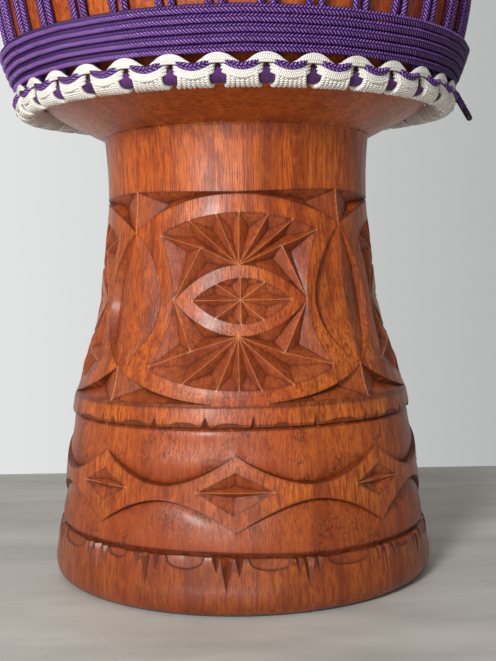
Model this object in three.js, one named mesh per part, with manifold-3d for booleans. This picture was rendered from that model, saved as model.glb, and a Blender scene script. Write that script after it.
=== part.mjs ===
// Goblet hand drum (djembe): a one-piece carved wooden shell with a rope-tensioned skin.
// Units are millimetres, +Z is up, the drum's axis is Z and the underside of the foot is z = 0.
// Angles go round the axis in degrees: 0 is the front (-Y) and positive turns towards +X.

import * as THREE from 'three';
import { mergeVertices } from 'three/addons/utils/BufferGeometryUtils.js';
import Module from 'manifold-3d';

const wasm = await Module();
wasm.setup();
const { Manifold, Mesh: SolidMesh } = wasm;

// ---------------------------------------------------------------- driving dimensions

const SEGMENTS = 24;             // flats round every turned form
const BORE_SEGMENTS = 16;        // flats round the inside

const HEIGHT = 600;              // foot to bearing edge
const FOOT_R = 116;              // widest radius of the foot
const NECK_R = 79;               // narrowest radius of the stem
const BEARING_R = 160;           // radius of the bowl at the head
const JUNCTION_Z = 262.7;        // where the stem meets the underside of the bowl

const BASE_TOP_Z = 32.3;         // top of the plain band at the foot
const BULGE_TOP_Z = 98.5;        // groove under the step band
const STEP_TOP_Z = 109.5;        // top of the step band

const MEDALLION_Z = 166;         // middle height of the four medallions
const MEDALLIONS = 4;
const RING_OUT = { a: 60, up: 58, down: 55.2 };    // outer edge of a medallion's ring (deg, mm, mm)
const RING_IN = { a: 50, up: 48, down: 48 };       // inner edge, above and below
const SIDE_IN = { at: 25.8, flare: 6.2, half: 35.5 };  // inner edge, left and right
const EYE_OUT = { a: 25.5, up: 19, down: 19.5 };
const EYE_IN = { a: 18.5, up: 12, down: 13 };
const CHIP_DEPTH = 4.4;
const RIDGE = 0.9;               // worn width left between two chips

const CROSSINGS = 8;             // X crossings of the raised net on the bulge
const RECESS_DEPTH = 3.4;

const LACES = 34;                // pairs of lacing rope
const LACE_PHASE = -4;           // angle of the pair nearest the front
const LACE_SPREAD = 2.0;         // each rope of a pair, either side of its middle
const ROPE_D = 4.2;              // lacing and belt rope
const BELT_TURNS = 5;
const BELT_PITCH = 4.12;
const BELT_Z = 291.6;            // where the belt starts, at the back

const LOW_RING = { r: 125.6, z: 280.0, tube: 4.0 };
const CROWN_RING = { r: 170.6, z: 572.0, tube: 4.0 };
const LOOP_T = 3.0;              // thickness of the white loops
const SKIN_T = 1.4;
const GAP = 0.3;                 // clearance between pieces that touch

const TAIL_R = 1.9;
const TIP_R = 2.0;

// ---------------------------------------------------------------- the shell's profile

// outside, from the underside up to the bearing edge: [z, r]
const OUTSIDE = [
  [0, FOOT_R - 3.5], [4.5, FOOT_R - 0.3], [12, FOOT_R - 0.1], [BASE_TOP_Z, 112.8],
  [BASE_TOP_Z + 1.0, 110.4], [36, 111.3], [79, 106.6],
  [BULGE_TOP_Z - 0.8, 103.4], [BULGE_TOP_Z, 101.2], [100, 103.7], [STEP_TOP_Z - 0.5, 102.4],
  [130, 95.2], [158, 87], [195, 82], [230, NECK_R + 0.2], [JUNCTION_Z - 0.7, 80.5], [JUNCTION_Z, 81],
  [278.5, 112], [291, 124.6], [311, 132.6], [347, 139.6], [420, 149.9],
  [500, 156.8], [HEIGHT - 3, BEARING_R], [HEIGHT, BEARING_R - 2.5],
];
// inside, from the underside up: the foot's flared bore, the throat and the bowl
const INSIDE = [
  [-5, 93.4], [0, 93], [120, 80], [244, 52], [264, 52], [300, 95],
  [340, 121], [410, 135.5], [HEIGHT - 22, 146], [HEIGHT - 1, 155], [HEIGHT + 5, 157],
];

const RAD = Math.PI / 180;
const half = RAD * 180 / SEGMENTS;

function outsideR(z) {
  let i = 1;
  while (i < OUTSIDE.length - 1 && OUTSIDE[i][0] < z) i++;
  const [z0, r0] = OUTSIDE[i - 1], [z1, r1] = OUTSIDE[i];
  return r0 + (r1 - r0) * (z - z0) / (z1 - z0);
}

// radius of the faceted form at an angle, for a corner radius r
function flatR(r, deg) {
  const step = 2 * half;
  const t = ((deg * RAD) % step + step) % step;
  return r * Math.cos(half) / Math.cos(t - half);
}

const polar = (deg, r, z) => new THREE.Vector3(r * Math.sin(deg * RAD), -r * Math.cos(deg * RAD), z);
const onShell = (deg, z, depth = 0) => polar(deg, flatR(outsideR(z), deg) - depth, z);

// ---------------------------------------------------------------- solids

function tidy(geometry) {
  let g = geometry.clone();
  g.deleteAttribute('normal');
  if (g.attributes.uv) g.deleteAttribute('uv');
  g = mergeVertices(g, 1e-4);
  const p = g.attributes.position, src = g.index.array, keep = [];
  let volume = 0;
  const a = new THREE.Vector3(), b = new THREE.Vector3(), c = new THREE.Vector3();
  for (let i = 0; i < src.length; i += 3) {
    const [x, y, z] = [src[i], src[i + 1], src[i + 2]];
    if (x === y || y === z || z === x) continue;
    keep.push(x, y, z);
    a.fromBufferAttribute(p, x); b.fromBufferAttribute(p, y); c.fromBufferAttribute(p, z);
    volume += a.dot(b.cross(c));
  }
  if (volume < 0) for (let i = 0; i < keep.length; i += 3) [keep[i + 1], keep[i + 2]] = [keep[i + 2], keep[i + 1]];
  g.setIndex(keep);
  return g;
}

function solid(geometry) {
  const g = tidy(geometry);
  return new Manifold(new SolidMesh({
    numProp: 3,
    vertProperties: new Float32Array(g.attributes.position.array),
    triVerts: new Uint32Array(g.index.array),
  }));
}

function surface(manifold) {
  const m = manifold.getMesh();
  const g = new THREE.BufferGeometry();
  g.setAttribute('position', new THREE.BufferAttribute(new Float32Array(m.vertProperties), 3));
  g.setIndex(new THREE.BufferAttribute(new Uint32Array(m.triVerts), 1));
  return g;
}

// turned form from a closed outline of [r, z], or one that starts and ends on the axis
function turned(outline, segments = SEGMENTS) {
  const pts = outline.map(([r, z]) => new THREE.Vector2(r, z));
  const g = new THREE.LatheGeometry(pts, segments);
  g.rotateX(Math.PI / 2);
  return tidy(g);
}

// closed mesh over rows of points; every row has the same number of points and closes on itself
function loft(rows, closed) {
  const n = rows[0].length, pos = [], idx = [];
  rows.forEach(row => row.forEach(v => pos.push(v.x, v.y, v.z)));
  const last = closed ? rows.length : rows.length - 1;
  for (let i = 0; i < last; i++) {
    const p = i * n, q = ((i + 1) % rows.length) * n;
    for (let j = 0; j < n; j++) {
      const k = (j + 1) % n;
      idx.push(p + j, q + j, q + k, p + j, q + k, p + k);
    }
  }
  if (!closed) {
    const e = (rows.length - 1) * n;
    for (let j = 1; j < n - 1; j++) {
      idx.push(0, j, j + 1);
      idx.push(e, e + j + 1, e + j);
    }
  }
  const g = new THREE.BufferGeometry();
  g.setAttribute('position', new THREE.Float32BufferAttribute(pos, 3));
  g.setIndex(idx);
  return tidy(g);
}

// rope of a few flats along points; one corner of its section always points away from the axis
function rope(points, corners, radius, closed) {
  const n = points.length;
  const rows = points.map((p, i) => {
    const before = points[closed ? (i + n - 1) % n : Math.max(i - 1, 0)];
    const after = points[closed ? (i + 1) % n : Math.min(i + 1, n - 1)];
    const t = after.clone().sub(before).normalize();
    const out = new THREE.Vector3(p.x, p.y, 0).normalize();
    out.addScaledVector(t, -out.dot(t)).normalize();
    const side = t.clone().cross(out);
    return Array.from({ length: corners }, (_, k) => {
      const a = 2 * Math.PI * k / corners;
      return p.clone().addScaledVector(out, radius * Math.cos(a)).addScaledVector(side, radius * Math.sin(a));
    });
  });
  return loft(rows, closed);
}

// ---------------------------------------------------------------- carving tools

// corners [deg, z] drawn in towards their middle by a distance in millimetres
function drawnIn(corners, distance) {
  const mid = [0, 1].map(k => corners.reduce((sum, c) => sum + c[k], 0) / corners.length);
  const mmPerDeg = outsideR(mid[1]) * RAD;
  return corners.map(([deg, z]) => {
    const away = Math.hypot((deg - mid[0]) * mmPerDeg, z - mid[1]);
    const f = Math.max(0.3, 1 - distance / away);
    return [mid[0] + (deg - mid[0]) * f, mid[1] + (z - mid[1]) * f];
  });
}

// the same outline with a point wherever it crosses an edge of the turned form
function fitted(corners) {
  const pts = [];
  corners.forEach(([a0, z0], i) => {
    const [a1, z1] = corners[(i + 1) % corners.length], step = 360 / SEGMENTS, cuts = [0];
    for (let m = Math.ceil(Math.min(a0, a1) / step); m * step < Math.max(a0, a1); m++) cuts.push((m * step - a0) / (a1 - a0));
    for (const [z] of OUTSIDE) if ((z - z0) * (z - z1) < 0) cuts.push((z - z0) / (z1 - z0));
    cuts.sort((p, q) => p - q).filter((t, k, all) => t < 0.97 && (k === 0 || t - all[k - 1] > 0.03))
      .forEach(t => pts.push([a0 + (a1 - a0) * t, z0 + (z1 - z0) * t]));
  });
  return pts;
}

// a chip: an upside-down pyramid over corners [deg, z] that meets its point at [deg, z] below the surface
function chip(corners, low, depth, ridge = RIDGE, rise = 1.6) {
  const d = onShell(low[0], low[1], depth);
  const base = fitted(drawnIn(corners, ridge)).map(([deg, z]) => onShell(deg, z));
  const top = base.map(v => d.clone().add(v.sub(d).multiplyScalar(rise)));
  const cap = onShell(low[0], low[1], -depth * (rise - 1) * 1.5);
  const pos = [], idx = [];
  [...top, d, cap].forEach(v => pos.push(v.x, v.y, v.z));
  const n = top.length;
  for (let i = 0; i < n; i++) {
    const j = (i + 1) % n;
    idx.push(i, n, j, i, j, n + 1);
  }
  const g = new THREE.BufferGeometry();
  g.setAttribute('position', new THREE.Float32BufferAttribute(pos, 3));
  g.setIndex(idx);
  return solid(g);
}

// a hollow: the space over a grid of [deg, z, floor radius], out past the surface
function hollow(grid, outR) {
  const rows = grid.length, cols = grid[0].length, pos = [], idx = [];
  for (const side of [0, 1]) {
    grid.forEach(row => row.forEach(([deg, z, r]) => {
      const v = polar(deg, side ? outR : r, z);
      pos.push(v.x, v.y, v.z);
    }));
  }
  const at = (side, i, j) => side * rows * cols + i * cols + j;
  for (let i = 0; i < rows - 1; i++) {
    for (let j = 0; j < cols - 1; j++) {
      idx.push(at(0, i, j), at(0, i + 1, j), at(0, i + 1, j + 1), at(0, i, j), at(0, i + 1, j + 1), at(0, i, j + 1));
      idx.push(at(1, i, j), at(1, i + 1, j + 1), at(1, i + 1, j), at(1, i, j), at(1, i, j + 1), at(1, i + 1, j + 1));
    }
  }
  const rim = [];
  for (let j = 0; j < cols - 1; j++) rim.push([0, j]);
  for (let i = 0; i < rows - 1; i++) rim.push([i, cols - 1]);
  for (let j = cols - 1; j > 0; j--) rim.push([rows - 1, j]);
  for (let i = rows - 1; i > 0; i--) rim.push([i, 0]);
  rim.forEach(([i, j], k) => {
    const [m, n] = rim[(k + 1) % rim.length];
    idx.push(at(0, i, j), at(0, m, n), at(1, m, n), at(0, i, j), at(1, m, n), at(1, i, j));
  });
  const g = new THREE.BufferGeometry();
  g.setAttribute('position', new THREE.Float32BufferAttribute(pos, 3));
  g.setIndex(idx);
  return solid(g);
}

const arch = (size, deg, up) => Math.sqrt(Math.max(0, 1 - (deg / size.a) ** 2)) * (up ? size.up : -size.down);
const lens = (size, deg, up) => (1 - (deg / size.a) ** 2) * (up ? size.up : -size.down);
const between = (p, q, t) => [p[0] + (q[0] - p[0]) * t, p[1] + (q[1] - p[1]) * t];

// one medallion: two fans of chips about a pointed eye, inside a flat ring
function medallion(centre) {
  const tools = [];
  for (const up of [true, false]) {
    const s = up ? 1 : -1;
    const hub = [0, MEDALLION_Z + (up ? EYE_OUT.up : -EYE_OUT.down) + s * 0.5];
    const corner = e => [e * (SIDE_IN.at + SIDE_IN.flare), MEDALLION_Z + s * SIDE_IN.half];
    const tip = e => [e * EYE_OUT.a, MEDALLION_Z];
    const rays = [-1, -0.4, 0.36, 1];
    const rim = rays.map(f => {
      const deg = f * (SIDE_IN.at + SIDE_IN.flare);
      return Math.abs(f) === 1 ? corner(f) : [deg, MEDALLION_Z + arch(RING_IN, deg, up)];
    });
    const cut = (pts, low, depth) => tools.push(chip(
      pts.map(([a, z]) => [a + centre, z]), [low[0] + centre, low[1]], depth));
    for (let i = 0; i < rim.length - 1; i++) {
      const middle = between(rim[i], rim[i + 1], 0.5);
      cut([hub, rim[i], rim[i + 1]], between(hub, middle, 0.72), CHIP_DEPTH);
    }
    for (const e of [-1, 1]) {
      const [deg, z] = tip(e);
      cut([hub, corner(e), [deg + e * 0.5, z + s * 3.0]], [e * 19.5, MEDALLION_Z + s * 23], CHIP_DEPTH);
    }
    const bow = e => [e * EYE_IN.a * 0.5, MEDALLION_Z + lens(EYE_IN, EYE_IN.a * 0.5, up)];
    cut([[-EYE_IN.a, MEDALLION_Z + s * 0.3], [EYE_IN.a, MEDALLION_Z + s * 0.3], bow(1), [0, MEDALLION_Z + (up ? EYE_IN.up : -EYE_IN.down)], bow(-1)],
      [0, MEDALLION_Z + s * 6.5], 3.2);
  }
  return tools;
}

// the pointed oval between two medallions: a steep edge round a leaf that rises to a ridge
function leafPanel(centre) {
  const z0 = 134, z1 = 203, mid = (z0 + z1) / 2, rows = [], bevel = 3.2;
  const stations = [-0.99, -0.7, -0.3, 0.3, 0.7, 0.99];
  for (const f of stations) {
    const z = mid + f * (z1 - z0) / 2;
    const w = 12.5 * (1 - f * f) ** 0.75 + 0.35;
    const deep = 3.8 * Math.min(1, w / 7), r = a => flatR(outsideR(z), centre + a);
    const low = Math.max(w - bevel, w * 0.45);
    rows.push([
      [centre - w - 0.4, z, r(w) + 0.5], [centre - low, z, r(low) - deep], [centre, z, r(0) - Math.min(0.6, deep)],
      [centre + low, z, r(low) - deep], [centre + w + 0.4, z, r(w) + 0.5],
    ]);
  }
  return hollow(rows, FOOT_R + 2);
}

// the three-cornered hollow over or under a crossing of rings
function spandrel(centre, up) {
  const edge = up ? 226.6 : 111.2, apex = MEDALLION_Z + (up ? 39.5 : -36.5), half = 20;
  return [chip([[centre - half, edge], [centre + half, edge], [centre, apex]],
    [centre, edge * 0.55 + apex * 0.45], 4.2, 0.7)];
}

// a pillowed recess of the bulge, over or under the raised net, between two crossings
function recess(centre, upper) {
  const rows = [], reach = 180 / CROSSINGS;
  for (const f of [-0.96, -0.5, 0, 0.5, 0.96]) {
    const deg = centre + f * reach;
    const edge = upper ? 68.3 + 16.5 * Math.abs(f) ** 1.8 : 60.6 - 16.2 * Math.abs(f) ** 1.8;
    const far = upper ? BULGE_TOP_Z - 0.6 : BASE_TOP_Z + 1.6;
    const row = [];
    for (const t of [0, 1]) {
      const z = edge + (far - edge) * t;
      const depth = t === 0 ? RECESS_DEPTH * (1 - 0.85 * f * f) : 1.4;
      row.push([deg, z, flatR(outsideR(z), deg) - depth]);
    }
    rows.push(row);
  }
  return hollow(rows, FOOT_R + 3);
}

function diamond(centre, width, z0, z1) {
  const z = (z0 + z1) / 2;
  return [[z1, 1], [z0, -1]].map(([tip, s]) => chip(
    [[centre - width, z + s * 0.2], [centre + width, z + s * 0.2], [centre, tip]],
    [centre, z + s * (z1 - z0) * 0.17], 3.4, 0.5));
}

// ---------------------------------------------------------------- shell

function makeShell() {
  const body = solid(turned([[0, 0], ...OUTSIDE.map(([z, r]) => [r, z]), [0, HEIGHT]]));
  const bore = solid(turned([[0, INSIDE[0][0]], ...INSIDE.map(([z, r]) => [r, z]), [0, HEIGHT + 5]], BORE_SEGMENTS));
  const tools = [];
  for (let q = 0; q < MEDALLIONS; q++) {
    const front = 90 * q;
    tools.push(...medallion(front));
    tools.push(leafPanel(front + 45));
    tools.push(...spandrel(front + 45, true), ...spandrel(front + 45, false));
  }
  for (let i = 0; i < CROSSINGS; i++) {
    const at = 45 * i - 1.5;
    tools.push(recess(at + 22.5, true), recess(at + 22.5, false));
    tools.push(...diamond(at, 10.5, 54, 76));
  }
  const parts = body.subtract(bore).subtract(Manifold.union(tools)).decompose();
  return surface(parts.reduce((big, m) => (m.volume() > big.volume() ? m : big)));
}

// ---------------------------------------------------------------- rings, loops and ropes

function makeRing({ r, z, tube }) {
  const n = 5, outline = [];
  for (let i = 0; i <= n; i++) {
    const a = 2 * Math.PI * (i % n) / n;
    outline.push([r + tube * Math.cos(a), z + tube * Math.sin(a)]);
  }
  return turned(outline);
}

// white rope looped over a ring: upright bundles on the ring, joined by arches; s is +1 where the arches stand above
function makeLoops(ring, phase, s) {
  const rows = [], unit = 360 / LACES;
  const inR = ring.r + ring.tube + GAP + 0.1, outR = inR + LOOP_T;
  for (let k = 0; k < LACES; k++) {
    const arch = phase + unit * k, bundle = arch + unit / 2;
    const archIn = inR + 0.1;
    const peak = [[archIn, 4.4], [archIn + 2.6, 4.0], [archIn + 2.8, 6.0], [archIn + 0.4, 6.6]];
    const block = [[ring.r + ring.tube + 0.3, -ring.tube - LOOP_T + 0.3], [outR - 0.6, -ring.tube - LOOP_T + 0.9], [outR, 0.9], [inR + 0.1, 1.6]];
    const put = (deg, p) => rows.push(p.map(([r, z]) => polar(deg, r, ring.z + s * z)));
    put(arch, peak);
    put(bundle - 2.3, block);
    put(bundle + 2.3, block);
  }
  return loft(rows, true);
}

function makeLacing() {
  const points = [], unit = 360 / LACES, base = 1.3 + GAP + 0.1;
  const shellAt = (deg, z) => Math.max(...[-1.1, 0, 1.1].map(e => flatR(outsideR(z), deg + e))) + base;
  for (let k = 0; k < LACES; k++) {
    const at = LACE_PHASE + unit * k;
    const left = at - LACE_SPREAD, right = at + LACE_SPREAD, low = at + unit / 2;
    const upright = deg => [
      polar(deg, shellAt(deg, 291), 291), polar(deg, shellAt(deg, 311), 311), polar(deg, shellAt(deg, 347), 347),
      polar(deg, 172.2, 557)];
    points.push(...upright(left), ...upright(right).reverse(), polar(low, 130.1, 284.2));
  }
  return rope(points, 3, 2.6, true);
}

function makeBelt() {
  const points = [], n = SEGMENTS, reach = 1.3 + 2.6 + 2 * GAP + 2.4;
  for (let i = 0; i <= BELT_TURNS * n; i++) {
    const deg = i * 360 / n + 180, z = BELT_Z + BELT_PITCH * i / n;
    points.push(polar(deg, outsideR(z) + reach, z));
  }
  const rows = points.map(p => {
    const out = new THREE.Vector3(p.x, p.y, 0).normalize(), up = new THREE.Vector3(0, 0, 1), h = ROPE_D / 2 - 0.15;
    return [[2.6, 0], [-1.3, -h], [-1.3, h]].map(([a, b]) => p.clone().addScaledVector(out, a).addScaledVector(up, b));
  });
  return loft(rows, false);
}

function makeSkin() {
  const o = BEARING_R, z = HEIGHT, bead = 558.5;
  return turned([
    [0, z + 0.4 + SKIN_T], [o - 1.6, z + 0.4 + SKIN_T], [o + 2.4, z - 2.4], [o + 2.8, bead + 6.5], [o + 8.8, bead + 4],
    [o + 10.2, bead], [o + 7.5, bead - 4.5], [o + 1.4, bead - 4.5], [o + 1.0, z - 2.8], [o - 2.0, z + 0.4], [0, z + 0.4],
  ]);
}

// ---------------------------------------------------------------- the free end of the lacing rope

// [deg, r, z] from where it comes out between the belt and the loops to where its sealed end starts
const TAIL_ROUTE = [
  [101, 134.6, 290.6], [96.5, 134.8, 290.6], [92.5, 135.3, 290.1], [90, 136.1, 288.0], [88.6, 137.0, 284.6], [87.7, 138.3, 281.4], [87.1, 139.6, 278.4],
];
const TAIL_TIP_LENGTH = 8.5;

function tube(points, radius, steps) {
  const curve = new THREE.CatmullRomCurve3(points, false, 'centripetal');
  const section = new THREE.Shape();
  for (let i = 0; i < 8; i++) {
    const a = Math.PI * 2 * i / 8;
    if (i) section.lineTo(radius * Math.cos(a), radius * Math.sin(a)); else section.moveTo(radius, 0);
  }
  section.closePath();
  return tidy(new THREE.ExtrudeGeometry(section, { steps, extrudePath: curve, bevelEnabled: false }));
}

function makeTail() {
  return tube(TAIL_ROUTE.map(p => polar(...p)), TAIL_R, 6);
}

function makeTip() {
  const end = polar(...TAIL_ROUTE.at(-1)), before = polar(...TAIL_ROUTE.at(-2));
  const dir = end.clone().sub(before).normalize();
  const from = end.clone().addScaledVector(dir, GAP);
  const to = from.clone().addScaledVector(dir, TAIL_TIP_LENGTH);
  return tube([from, from.clone().lerp(to, 0.5), to], TIP_R, 2);
}

// ---------------------------------------------------------------- the drum

const drum = new THREE.Group();
drum.name = 'djembe';

function add(name, geometry, color, roughness, metalness = 0) {
  geometry.computeVertexNormals();
  const mesh = new THREE.Mesh(geometry, new THREE.MeshStandardMaterial({ color, roughness, metalness, flatShading: true }));
  mesh.name = name;
  drum.add(mesh);
}

add('shell', makeShell(), 0xb2602f, 0.42);
add('skin_head', makeSkin(), 0xe4d6ba, 0.6);
add('crown_ring', makeRing(CROWN_RING), 0x4b2257, 0.85);
add('bottom_ring', makeRing(LOW_RING), 0x4b2257, 0.85);
add('top_loops', makeLoops(CROWN_RING, LACE_PHASE + 180 / LACES, -1), 0xe9e4d8, 0.75);
add('bottom_loops', makeLoops(LOW_RING, LACE_PHASE, 1), 0xe9e4d8, 0.75);
add('lacing_rope', makeLacing(), 0x5a2c92, 0.6);
add('belt_rope', makeBelt(), 0x5a2c92, 0.6);
add('tail_rope', makeTail(), 0x4a2673, 0.6);
add('tail_tip', makeTip(), 0x17151a, 0.5);

export default drum;
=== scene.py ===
import bpy
import math
import numpy as np
from mathutils import Vector, Matrix
from mathutils.geometry import delaunay_2d_cdt


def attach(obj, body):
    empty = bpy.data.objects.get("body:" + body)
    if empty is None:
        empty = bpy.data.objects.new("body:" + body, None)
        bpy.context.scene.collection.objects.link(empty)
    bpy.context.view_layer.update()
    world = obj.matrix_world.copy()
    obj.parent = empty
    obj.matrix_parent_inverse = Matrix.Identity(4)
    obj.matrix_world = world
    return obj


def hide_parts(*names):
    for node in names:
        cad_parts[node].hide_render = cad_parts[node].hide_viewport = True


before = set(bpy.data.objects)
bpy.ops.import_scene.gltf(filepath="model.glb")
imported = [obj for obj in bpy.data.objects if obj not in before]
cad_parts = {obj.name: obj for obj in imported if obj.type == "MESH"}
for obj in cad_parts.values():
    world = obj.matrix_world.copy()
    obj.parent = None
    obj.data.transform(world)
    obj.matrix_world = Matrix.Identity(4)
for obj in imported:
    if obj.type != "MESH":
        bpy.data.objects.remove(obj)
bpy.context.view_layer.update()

MM = 0.001
scene = bpy.context.scene
rng = np.random.default_rng(7)

# ------------------------------------------------------------------ camera

cam_data = bpy.data.cameras.new("camera")
cam = bpy.data.objects.new("camera", cam_data)
scene.collection.objects.link(cam)
cam_data.sensor_width = 36.0
cam_data.sensor_fit = "AUTO"
cam_data.lens = 1039.0 / 661.0 * 36.0
cam_data.clip_start, cam_data.clip_end = 0.01, 50.0
cam.matrix_world = (
    Matrix.Translation((0.00518, -0.6479, 0.1819))
    @ Matrix.Rotation(math.radians(90 - 3.28), 4, "X")
    @ Matrix.Rotation(math.radians(-0.98), 4, "Z")
)
scene.camera = cam

# ------------------------------------------------------- sizes shared with the CAD (mm, degrees)

LACES = 34
LACE_PHASE = -3.3
LACE_STEP = 360.0 / LACES
BELT_TURNS, BELT_PITCH, BELT_Z = 5, 4.12, 291.6
ROPE_R = 2.1
RING_Z, RING_R, RING_TUBE = 279.6, 125.9, 4.2
CROWN_Z, CROWN_R, CROWN_TUBE = 572.0, 170.6, 4.0
TAIL_ROUTE = [
    (101, 134.6, 290.6), (96.5, 134.8, 290.6), (92.5, 135.3, 290.1), (90, 136.1, 288.0),
    (88.6, 137.0, 284.6), (87.7, 138.3, 281.4), (87.1, 139.6, 278.4),
]
TAIL_R, TIP_R, TAIL_TIP_LENGTH, GAP = 1.9, 2.0, 8.5, 0.3


def polar(deg, r, z):
    a = np.radians(deg)
    return np.stack([r * np.sin(a), -r * np.cos(a), z + 0 * a], -1)


def pchip(points):
    """A smooth curve through points that doesn't overshoot."""
    xs = np.array([p[0] for p in points], float)
    ys = np.array([p[1] for p in points], float)
    h = np.diff(xs)
    d = np.diff(ys) / h
    m = np.zeros(len(xs))
    m[0], m[-1] = d[0], d[-1]
    for i in range(1, len(xs) - 1):
        if d[i - 1] * d[i] > 0:
            w1, w2 = 2 * h[i] + h[i - 1], h[i] + 2 * h[i - 1]
            m[i] = (w1 + w2) / (w1 / d[i - 1] + w2 / d[i])

    def f(x):
        x = np.clip(np.asarray(x, float), xs[0], xs[-1])
        i = np.clip(np.searchsorted(xs, x, side="right") - 1, 0, len(xs) - 2)
        t = (x - xs[i]) / h[i]
        t2, t3 = t * t, t * t * t
        return (
            (2 * t3 - 3 * t2 + 1) * ys[i] + (t3 - 2 * t2 + t) * h[i] * m[i]
            + (-2 * t3 + 3 * t2) * ys[i + 1] + (t3 - t2) * h[i] * m[i + 1]
        )
    return f


BASE_TOP, BULGE_TOP, STEP_TOP, NECK_TOP = 32.3, 98.4, 109.4, 262.6
seg_base = pchip([(0, 109.2), (1.2, 111.9), (3.2, 114.2), (6, 115.5), (9, 116), (12, 115.9), (17.5, 114.9), (22, 114.4), (30, 113.5), (32.3, 112.8)])
seg_bulge = pchip([(33.5, 110.4), (35, 111.2), (38, 111.1), (45, 110.3), (57, 109.1), (67, 108.1), (79, 106.6), (85, 104.7), (91, 103.2), (96.5, 102.4), (98.4, 101.0)])
seg_step = pchip([(99.3, 103.6), (100.5, 103.8), (105, 103.2), (109.4, 102.4)])
seg_neck = pchip([
    (110.3, 101.9), (115, 99.9), (121, 98), (128, 96.5), (134, 94.1), (140, 92.2), (146, 90), (152, 88.1), (158, 86.9), (164, 85.7),
    (170, 84.9), (183, 83.4), (195, 82), (207, 80.9), (219, 79.6), (231, 79.2), (240, 79.1), (252, 79.6), (262.6, 80.6),
])
seg_bowl = pchip([
    (262.7, 81.3), (270, 95.5), (278.5, 112), (285, 119.3), (291, 124.6), (301, 129.2), (311, 132.6), (329, 136.8), (347, 139.6),
    (375, 144), (420, 149.9), (455, 153.2), (500, 156.8), (545, 158.8), (597, 160),
])
bore = pchip([(-5, 93.4), (0, 93.2), (120, 80), (200, 62), (244, 52.5), (254, 51.6), (264, 52.5), (300, 95), (340, 121), (410, 135.5), (578, 146), (599, 155)])


def outside(z):
    z = np.asarray(z, float)
    r = np.where(z <= BASE_TOP, seg_base(z), 0.0)
    r = np.where((z > BASE_TOP) & (z < 33.5), np.interp(z, [BASE_TOP, 32.7, 33.5], [112.8, 110.2, 110.4]), r)
    r = np.where((z >= 33.5) & (z <= BULGE_TOP), seg_bulge(z), r)
    r = np.where((z > BULGE_TOP) & (z < 99.3), np.interp(z, [BULGE_TOP, 99.3], [101.0, 103.6]), r)
    r = np.where((z >= 99.3) & (z <= STEP_TOP), seg_step(z), r)
    r = np.where((z > STEP_TOP) & (z < 110.3), np.interp(z, [STEP_TOP, 110.3], [102.4, 101.9]), r)
    r = np.where((z >= 110.3) & (z <= NECK_TOP), seg_neck(z), r)
    return np.where(z > NECK_TOP, seg_bowl(z), r)


# ------------------------------------------------------------------ small helpers

def new_mesh(name, verts, faces, smooth=True, sharp=None):
    me = bpy.data.meshes.new(name)
    me.from_pydata([tuple(v) for v in verts], [], [tuple(int(i) for i in f) for f in faces])
    me.validate()
    me.update()
    if smooth:
        me.shade_smooth()
        if sharp:
            me.set_sharp_from_angle(angle=math.radians(sharp))
    o = bpy.data.objects.new(name, me)
    scene.collection.objects.link(o)
    return o


def point_attr(o, name, values):
    a = o.data.attributes.new(name, "FLOAT", "POINT")
    a.data.foreach_set("value", np.asarray(values, np.float32))


def corner_attr(o, name, face_values):
    a = o.data.attributes.new(name, "FLOAT", "CORNER")
    counts = np.zeros(len(o.data.polygons), np.int32)
    o.data.polygons.foreach_get("loop_total", counts)
    a.data.foreach_set("value", np.repeat(np.asarray(face_values, np.float32), counts))


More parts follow.
